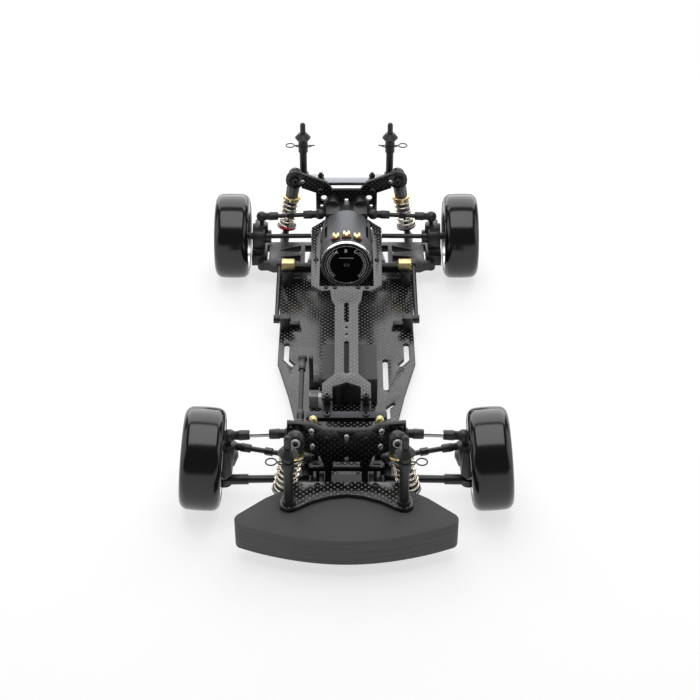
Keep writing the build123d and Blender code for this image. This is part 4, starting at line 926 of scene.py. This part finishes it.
class DRIFT_CAR_OT_steering(bpy.types.Operator):
    """Servo with its horn and link, bellcrank, bridge and rack"""
    bl_idname = "drift_car.steering"
    bl_label = "Steering"
    CAP_BASE, CAP_TOP = 0.03, 0.0385  # a cap starts above the first height and ends above the second
    MOULDED_EDGE = 0.0003  # rounding of the servo's case and its mount

    def execute(self, context):
        dress("servo_case", "servo_shell", self.MOULDED_EDGE)
        dress("servo_horn", "moulded_nylon")
        dress("rack_carriage", "black_anodised", slot="black_plastic")
        dress("bellcrank", "moulded_nylon")
        bridge, *others = cad_islands("servo_bridge")
        bridge = soften(bridge, context.scene.drift_car_sizes.edge)
        place("steering_bridge", bridge, "black_anodised", nodes=["servo_bridge"], smooth=35,
              slot="black_plastic")
        for index, part in enumerate(others):
            low, high = box_of(part)
            if low[2] > self.CAP_BASE and high[2] > self.CAP_TOP:
                part.free()
                self.dome(f"bridge_cap_{index}", low, high)
            else:
                place(f"bridge_post_{index}", part, "black_anodised")
        self.mount_block("servo_mount_block", -24.3, -18.3, "grey_enamel")
        # Painted highlight: a white end on the block stands for the bright shine of a machined end
        self.mount_block("servo_mount_end", -18.3, -15.9, "white_print")
        self.link("servo_link", 3.2)
        return {"FINISHED"}

    def mount_block(self, name, x0, x1, finish_key):
        """One part of the block that stands on the main plate beside the servo."""
        front, back, base, top = 79.6, 83.8, 7.52, 17
        block = mesh_from([cuboid(mm(x0, front, base), mm(x1, back, top))])
        place(name, soften(block, self.MOULDED_EDGE), finish_key)

    def link(self, node, cup_r):
        """Link from the servo's horn to the bellcrank, its balls at the ends of its own box."""
        low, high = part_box(node)
        x, r = (low.x + high.x) / 2, cup_r / 1000
        ends = [Vector((x, low.y + r, low.z + r)), Vector((x, high.y - r, high.z - r))]
        link_pieces(node, ends, "black_anodised", cup_r, slot="black_steel")

    def dome(self, name, low, high):
        """Round-topped brass cap."""
        r, tall = 500 * (high[0] - low[0]), 1000 * (high[2] - low[2])
        start = Vector(((low[0] + high[0]) / 2, (low[1] + high[1]) / 2, low[2]))
        least_skirt = 0.3
        skirt = max(tall - r, least_skirt)
        curve = [(skirt + (tall - skirt) * math.sin(t), r * math.cos(t))
                 for t in np.linspace(0, math.pi / 2, 10)[:-1]]
        cap = lathe([(0, 0), (0, r), *curve, (tall, 0)], start, (0, 0, 1), 40)
        place(name, mesh_from([cap]), "polished_brass")


class DRIFT_CAR_OT_drive(bpy.types.Operator):
    """Motor, gear case, gears and spool"""
    bl_idname = "drift_car.drive"
    bl_label = "Motor and Drive"
    BEZEL = 0.0026  # depth of the chrome bezel
    MARK_DEPTH = 0.34  # of the printed marks behind the bezel's front, in mm

    def execute(self, context):
        dress("motor_can", "grey_can", 0)
        for node in ("motor_rotor", "bevel_shaft", "spool"):
            dress(node, "bright_steel", 0)
        dress("gearbox_case", "moulded_nylon")
        centre = JOINTS["motor_spin"]["pos_m"]
        front = Vector((centre[0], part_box("motor_endbell")[0].y, centre[2]))
        self.end_bell(front.y + self.BEZEL)
        disc = lathe([(0.35, 1.9), (0.35, 15.6), (0.6, 15.9), (0.98, 15.9), (0.98, 1.9)], front,
                     (0, 1, 0), 72)
        place("motor_face", mesh_from([disc]), "gloss_black")
        self.marks(front)
        for letter, x, z in (("A", -7, 10.4), ("B", -0.5, 11.4), ("C", 6.5, 10.6)):
            self.letter(letter, front + Vector((x, 0.3, z)) / 1000)
        return {"FINISHED"}

    def end_bell(self, edge_y):
        """Chrome bezel round the face, a black bell behind it and the solder tabs on top."""
        bell, *tabs = cad_islands("motor_endbell")
        geom = [*bell.verts, *bell.edges, *bell.faces]
        bmesh.ops.bisect_plane(bell, geom=geom, plane_co=(0, edge_y, 0), plane_no=(0, 1, 0))
        obj = place("endbell", soften(bell, 0.0012, 60), "polished_chrome", nodes=["motor_endbell"],
                    smooth=35, slot="chrome")
        obj.data.materials.append(finish("moulded_nylon"))
        for polygon in obj.data.polygons:
            polygon.material_index = 1 if polygon.center.y > edge_y else 0
        side, end, sunk, shown = 0.0012, 0.0006, 0.001, 0.0009
        bases = []
        for index, tab in enumerate(tabs):
            low, high = box_of(tab)
            bases.append(cuboid((low[0] - side, low[1] - end, low[2] - sunk),
                                (high[0] + side, high[1] + end, low[2] + shown)))
            place(f"solder_tab_{index}", soften(tab, 0.0001), "polished_brass")
        place("solder_tab_bases", mesh_from(bases), "red_brown")

    def marks(self, front):
        """Thin white marks: two arcs with their ticks, a circle and a short line."""
        arc_r, tick_r, ring_r = 13.6, (11.6, 12.9), 15.2
        marks = []
        for middle in (0, 180):
            arc = [self.spot(front, arc_r, middle + degrees) for degrees in range(-50, 51, 5)]
            marks.append(tube(arc, 0.18, 4))
            for degrees in range(-48, 49, 4):
                marks.append(tube([self.spot(front, r, middle + degrees) for r in tick_r], 0.1, 4))
        ring = [self.spot(front, ring_r, degrees) for degrees in range(0, 360, 5)]
        marks.append(tube(ring, 0.12, 4, closed=True))
        dash = [front + Vector((x, self.MARK_DEPTH, 5.6)) / 1000 for x in (-5, 5)]
        marks.append(tube(dash, 0.15, 4))
        place("motor_face_marks", mesh_from(marks), "white_print")

    def spot(self, front, radius, degrees):
        """Point on the motor's face, its angle counted up from the car's left."""
        a = math.radians(degrees)
        return front + Vector((math.cos(a) * radius, self.MARK_DEPTH, math.sin(a) * radius)) / 1000

    def letter(self, letter, spot):
        """One thin upright letter."""
        data = bpy.data.curves.new("letter", "FONT")
        data.body = letter
        data.size = 0.0036
        data.extrude = 0.00005
        data.align_x = data.align_y = "CENTER"
        mesh = plain_mesh(new_object("letter", data))
        mesh.transform(Matrix.Translation(spot) @ Matrix.Rotation(math.radians(90), 4, "X"))
        place(f"motor_letter_{letter}", as_bmesh(mesh), "white_print")


class DRIFT_CAR_OT_battery_bars(bpy.types.Operator):
    """Hinged battery bars and their brass thumb nuts"""
    bl_idname = "drift_car.battery_bars"
    bl_label = "Battery Bars"

    def execute(self, context):
        for side, _ in SIDES:
            node = f"battery_bar_{side}"
            parts = cad_islands(node)
            bar, knob = sorted(parts, key=lambda part: -(box_of(part)[1][1] - box_of(part)[0][1]))
            place(f"battery_bar_rod_{side}", bar, "blackened_steel", NODE_BODY[node], [node], 40)
            self.thumb_nut(f"thumb_nut_{side}", *box_of(knob), NODE_BODY[node])
            knob.free()
        return {"FINISHED"}

    def thumb_nut(self, name, low, high, body):
        """Turned brass nut with a groove near one end."""
        middle = (low + high) / 2
        width, r = 1000 * (high[0] - low[0]), 500 * min(high[1] - low[1], high[2] - low[2])
        bore, groove, chamfer = 1.2, 0.3, 0.4
        profile = [(0, bore), (0, r - chamfer), (chamfer, r), (width - 1.6, r), (width - 1.4, r - groove),
                   (width - 1.2, r - groove), (width - 1.0, r), (width - chamfer, r),
                   (width, r - chamfer), (width, bore)]
        nut = lathe(profile, Vector((low[0], middle[1], middle[2])), (1, 0, 0), 48)
        place(name, mesh_from([nut]), "polished_brass", body)


class DRIFT_CAR_OT_fasteners(bpy.types.Operator):
    """Button screws on the plates, towers and bridge"""
    bl_idname = "drift_car.fasteners"
    bl_label = "Fasteners"
    # Heights of the faces under the heads, and places of the towers' front faces, in mm
    DECK, BRIDGE, BRACE, UNDERSIDE = 44, 38, 30.8, 5
    FRONT_TOWER, REAR_TOWER = -6.5, 275.2

    def execute(self, context):
        up, ahead, down = (0, 0, 1), (0, -1, 0), (0, 0, -1)
        dark = []
        for s in (-1, 1):
            dark += [((s * 12, 45, self.DECK), up, 2.4), ((s * 12, 33.6, self.BRIDGE), up, 2.4),
                     ((s * 8, 167.3, self.DECK), up, 1.7), ((s * 14, 167.3, self.DECK), up, 1.7),
                     ((s * 21.5, 203, self.DECK), up, 1.9), ((s * 22, 238, self.DECK), up, 1.9),
                     ((s * 17, -24, self.BRACE), up, 2.2), ((s * 11.7, self.FRONT_TOWER, 51.8), ahead, 1.9)]
        bright = [((0, self.FRONT_TOWER, 53.5), ahead, 1.5)]
        for s in (-1, 1):
            dark += [((s * 29.5, -18, 57), ahead, 1.9), ((s * 19.3, self.REAR_TOWER, 58.7), ahead, 2.3),
                     ((s * 37.8, 274.0, 67.3), ahead, 2.0)]
            bright += [((s * 20.5, self.FRONT_TOWER, 57.6), ahead, 1.8),
                       ((s * 20, self.FRONT_TOWER, 46.5), ahead, 1.6),
                       ((s * 32.3, self.REAR_TOWER, 66.4), ahead, 1.5)]
        fasteners("plate_screws", "blackened_steel", dark)
        fasteners("tower_screws", "bright_steel", bright)
        spots = (14, -8), (14, 8), (12, 60), (12, 95), (38, 170), (38, 229), (12, 250), (12, 274)
        under = [((s * x, y, self.UNDERSIDE), down, 2.2) for s in (-1, 1) for x, y in spots]
        fasteners("underside_screws", "blackened_steel", under)
        return {"FINISHED"}


# --- Stage -----------------------------------------------------------------
class DRIFT_CAR_OT_stage(bpy.types.Operator):
    """Pale floor, soft studio light and the camera"""
    bl_idname = "drift_car.stage"
    bl_label = "Stage"
    FLOOR_REACH = 12  # half its width in metres
    FLOOR_NEAR, FLOOR_FAR = 0.26, 0.6  # distances between which the floor turns to even white
    FLOOR_GLOW = 0.68  # share of white that the camera and metal see in the floor near the car
    HORIZON_FADE, UPPER_ROOM = 0.12, 0.14  # height at which the room is dark, and how bright it is there

    def execute(self, context):
        self.floor()
        self.world()
        self.lamp("top_softbox", mm(0, 60, 760), mm(0, 60, 0), (0.62, 0.66), 2.9)
        self.lamp("back_softbox", mm(0, 1020, 560), mm(0, 100, 40), (1.7, 1.15), 2.35)
        self.lamp("left_softbox", mm(950, 60, 430), mm(0, 60, 40), (0.9, 0.7), 1.3)
        self.lamp("right_softbox", mm(-950, 60, 430), mm(0, 60, 40), (0.9, 0.7), 1.3)
        self.camera()
        return {"FINISHED"}

    def floor(self):
        """Pale matt floor that turns to even white away from the car."""
        made, tree = new_material("studio_floor")
        spot = add_node(tree, "ShaderNodeTexCoord", {}, "Object")
        far = add_node(tree, "ShaderNodeVectorMath", {0: spot}, "Value", operation="LENGTH")
        share = add_node(tree, "ShaderNodeMapRange", {
            "Value": far, "From Min": self.FLOOR_NEAR, "From Max": self.FLOOR_FAR})
        ray = add_node(tree, "ShaderNodeLightPath", {}).node.outputs
        seen = add_node(tree, "ShaderNodeMath", {0: ray["Is Camera Ray"], 1: ray["Is Glossy Ray"]},
                        operation="MAXIMUM")
        seen = add_node(tree, "ShaderNodeMath", {0: seen, 1: self.FLOOR_GLOW}, operation="MULTIPLY")
        share = add_node(tree, "ShaderNodeMath", {0: share, 1: seen}, operation="MAXIMUM")
        matt = add_node(tree, "ShaderNodeBsdfDiffuse", {"Color": linear("#f7f7f8")})
        glow = add_node(tree, "ShaderNodeEmission", {"Color": (1, 1, 1, 1), "Strength": 1.0})
        mix = add_node(tree, "ShaderNodeMixShader", {0: share, 1: matt, 2: glow})
        add_node(tree, "ShaderNodeOutputMaterial", {0: mix})
        mesh = bpy.data.meshes.new("floor")
        corners = [(x * self.FLOOR_REACH, y * self.FLOOR_REACH, 0)
                   for x, y in ((-1, -1), (1, -1), (1, 1), (-1, 1))]
        mesh.from_pydata(corners, [], [(0, 1, 2, 3)])
        mesh.materials.append(made)
        new_object("floor", mesh)

    def world(self):
        """White up to a little above the horizon, then the dark upper part of a studio."""
        world = bpy.data.worlds.new("studio")
        bpy.context.scene.world = world
        world.use_nodes = True
        tree = world.node_tree
        tree.nodes.clear()
        ray = add_node(tree, "ShaderNodeTexCoord", {}, "Generated")
        height = add_node(tree, "ShaderNodeSeparateXYZ", {0: ray}, "Z")
        level = add_node(tree, "ShaderNodeMapRange", {
            "Value": height, "From Max": self.HORIZON_FADE, "To Min": 1.0, "To Max": self.UPPER_ROOM})
        seen = add_node(tree, "ShaderNodeLightPath", {}, "Is Camera Ray")
        level = add_node(tree, "ShaderNodeMath", {0: level, 1: seen}, operation="MAXIMUM")
        back = add_node(tree, "ShaderNodeBackground", {"Color": (1, 1, 1, 1), "Strength": level})
        add_node(tree, "ShaderNodeOutputWorld", {0: back})

    def lamp(self, name, spot, target, size, radiance):
        """Soft box of one even brightness."""
        data = bpy.data.lights.new(name, "AREA")
        data.shape = "RECTANGLE"
        data.size, data.size_y = size
        data.energy = radiance * math.pi * size[0] * size[1]
        lamp = new_object(name, data)
        lamp.location = spot
        lamp.rotation_mode = "QUATERNION"
        lamp.rotation_quaternion = (target - spot).to_track_quat("-Z", "Y")
        lamp.visible_camera = False

    def camera(self):
        """Camera ahead of the car and above it, looking down at its middle."""
        data = bpy.data.cameras.new("camera")
        data.lens = 75.8
        data.sensor_width = 36
        data.shift_x = 0.005
        data.clip_start = 0.05
        camera = new_object("camera", data)
        camera.location = mm(0, -677.8, 594.3)
        camera.rotation_euler = (math.radians(54.5), 0, 0)
        bpy.context.scene.camera = camera


class DRIFT_CAR_PT_panel(bpy.types.Panel):
    """Lists the car's operators"""
    bl_idname = "DRIFT_CAR_PT_panel"
    bl_label = "Drift Car"
    bl_space_type = "VIEW_3D"
    bl_region_type = "UI"
    bl_category = "Drift Car"

    def draw(self, context):
        for group in (context.scene.drift_car_sizes, context.scene.drift_car_colours):
            box = self.layout.box()
            for key in group.__annotations__:
                box.prop(group, key)
        for operator in OPERATORS:
            self.layout.operator(operator.bl_idname)


OPERATORS = [DRIFT_CAR_OT_plates, DRIFT_CAR_OT_bumper, DRIFT_CAR_OT_body_posts, DRIFT_CAR_OT_wheels,
             DRIFT_CAR_OT_shocks, DRIFT_CAR_OT_suspension, DRIFT_CAR_OT_steering, DRIFT_CAR_OT_drive,
             DRIFT_CAR_OT_battery_bars, DRIFT_CAR_OT_fasteners, DRIFT_CAR_OT_stage]
CLASSES = [DriftCarSizes, DriftCarColours, *OPERATORS, DRIFT_CAR_PT_panel]


def register():
    for item in CLASSES:
        bpy.utils.register_class(item)
    bpy.types.Scene.drift_car_sizes = bpy.props.PointerProperty(type=DriftCarSizes)
    bpy.types.Scene.drift_car_colours = bpy.props.PointerProperty(type=DriftCarColours)


def unregister():
    del bpy.types.Scene.drift_car_colours
    del bpy.types.Scene.drift_car_sizes
    for item in reversed(CLASSES):
        bpy.utils.unregister_class(item)


def main():
    register()
    for operator in OPERATORS:
        getattr(bpy.ops.drift_car, operator.bl_idname.split(".")[1])()
    bpy.context.scene.view_settings.view_transform = "Standard"


if __name__ == "__main__":
    main()
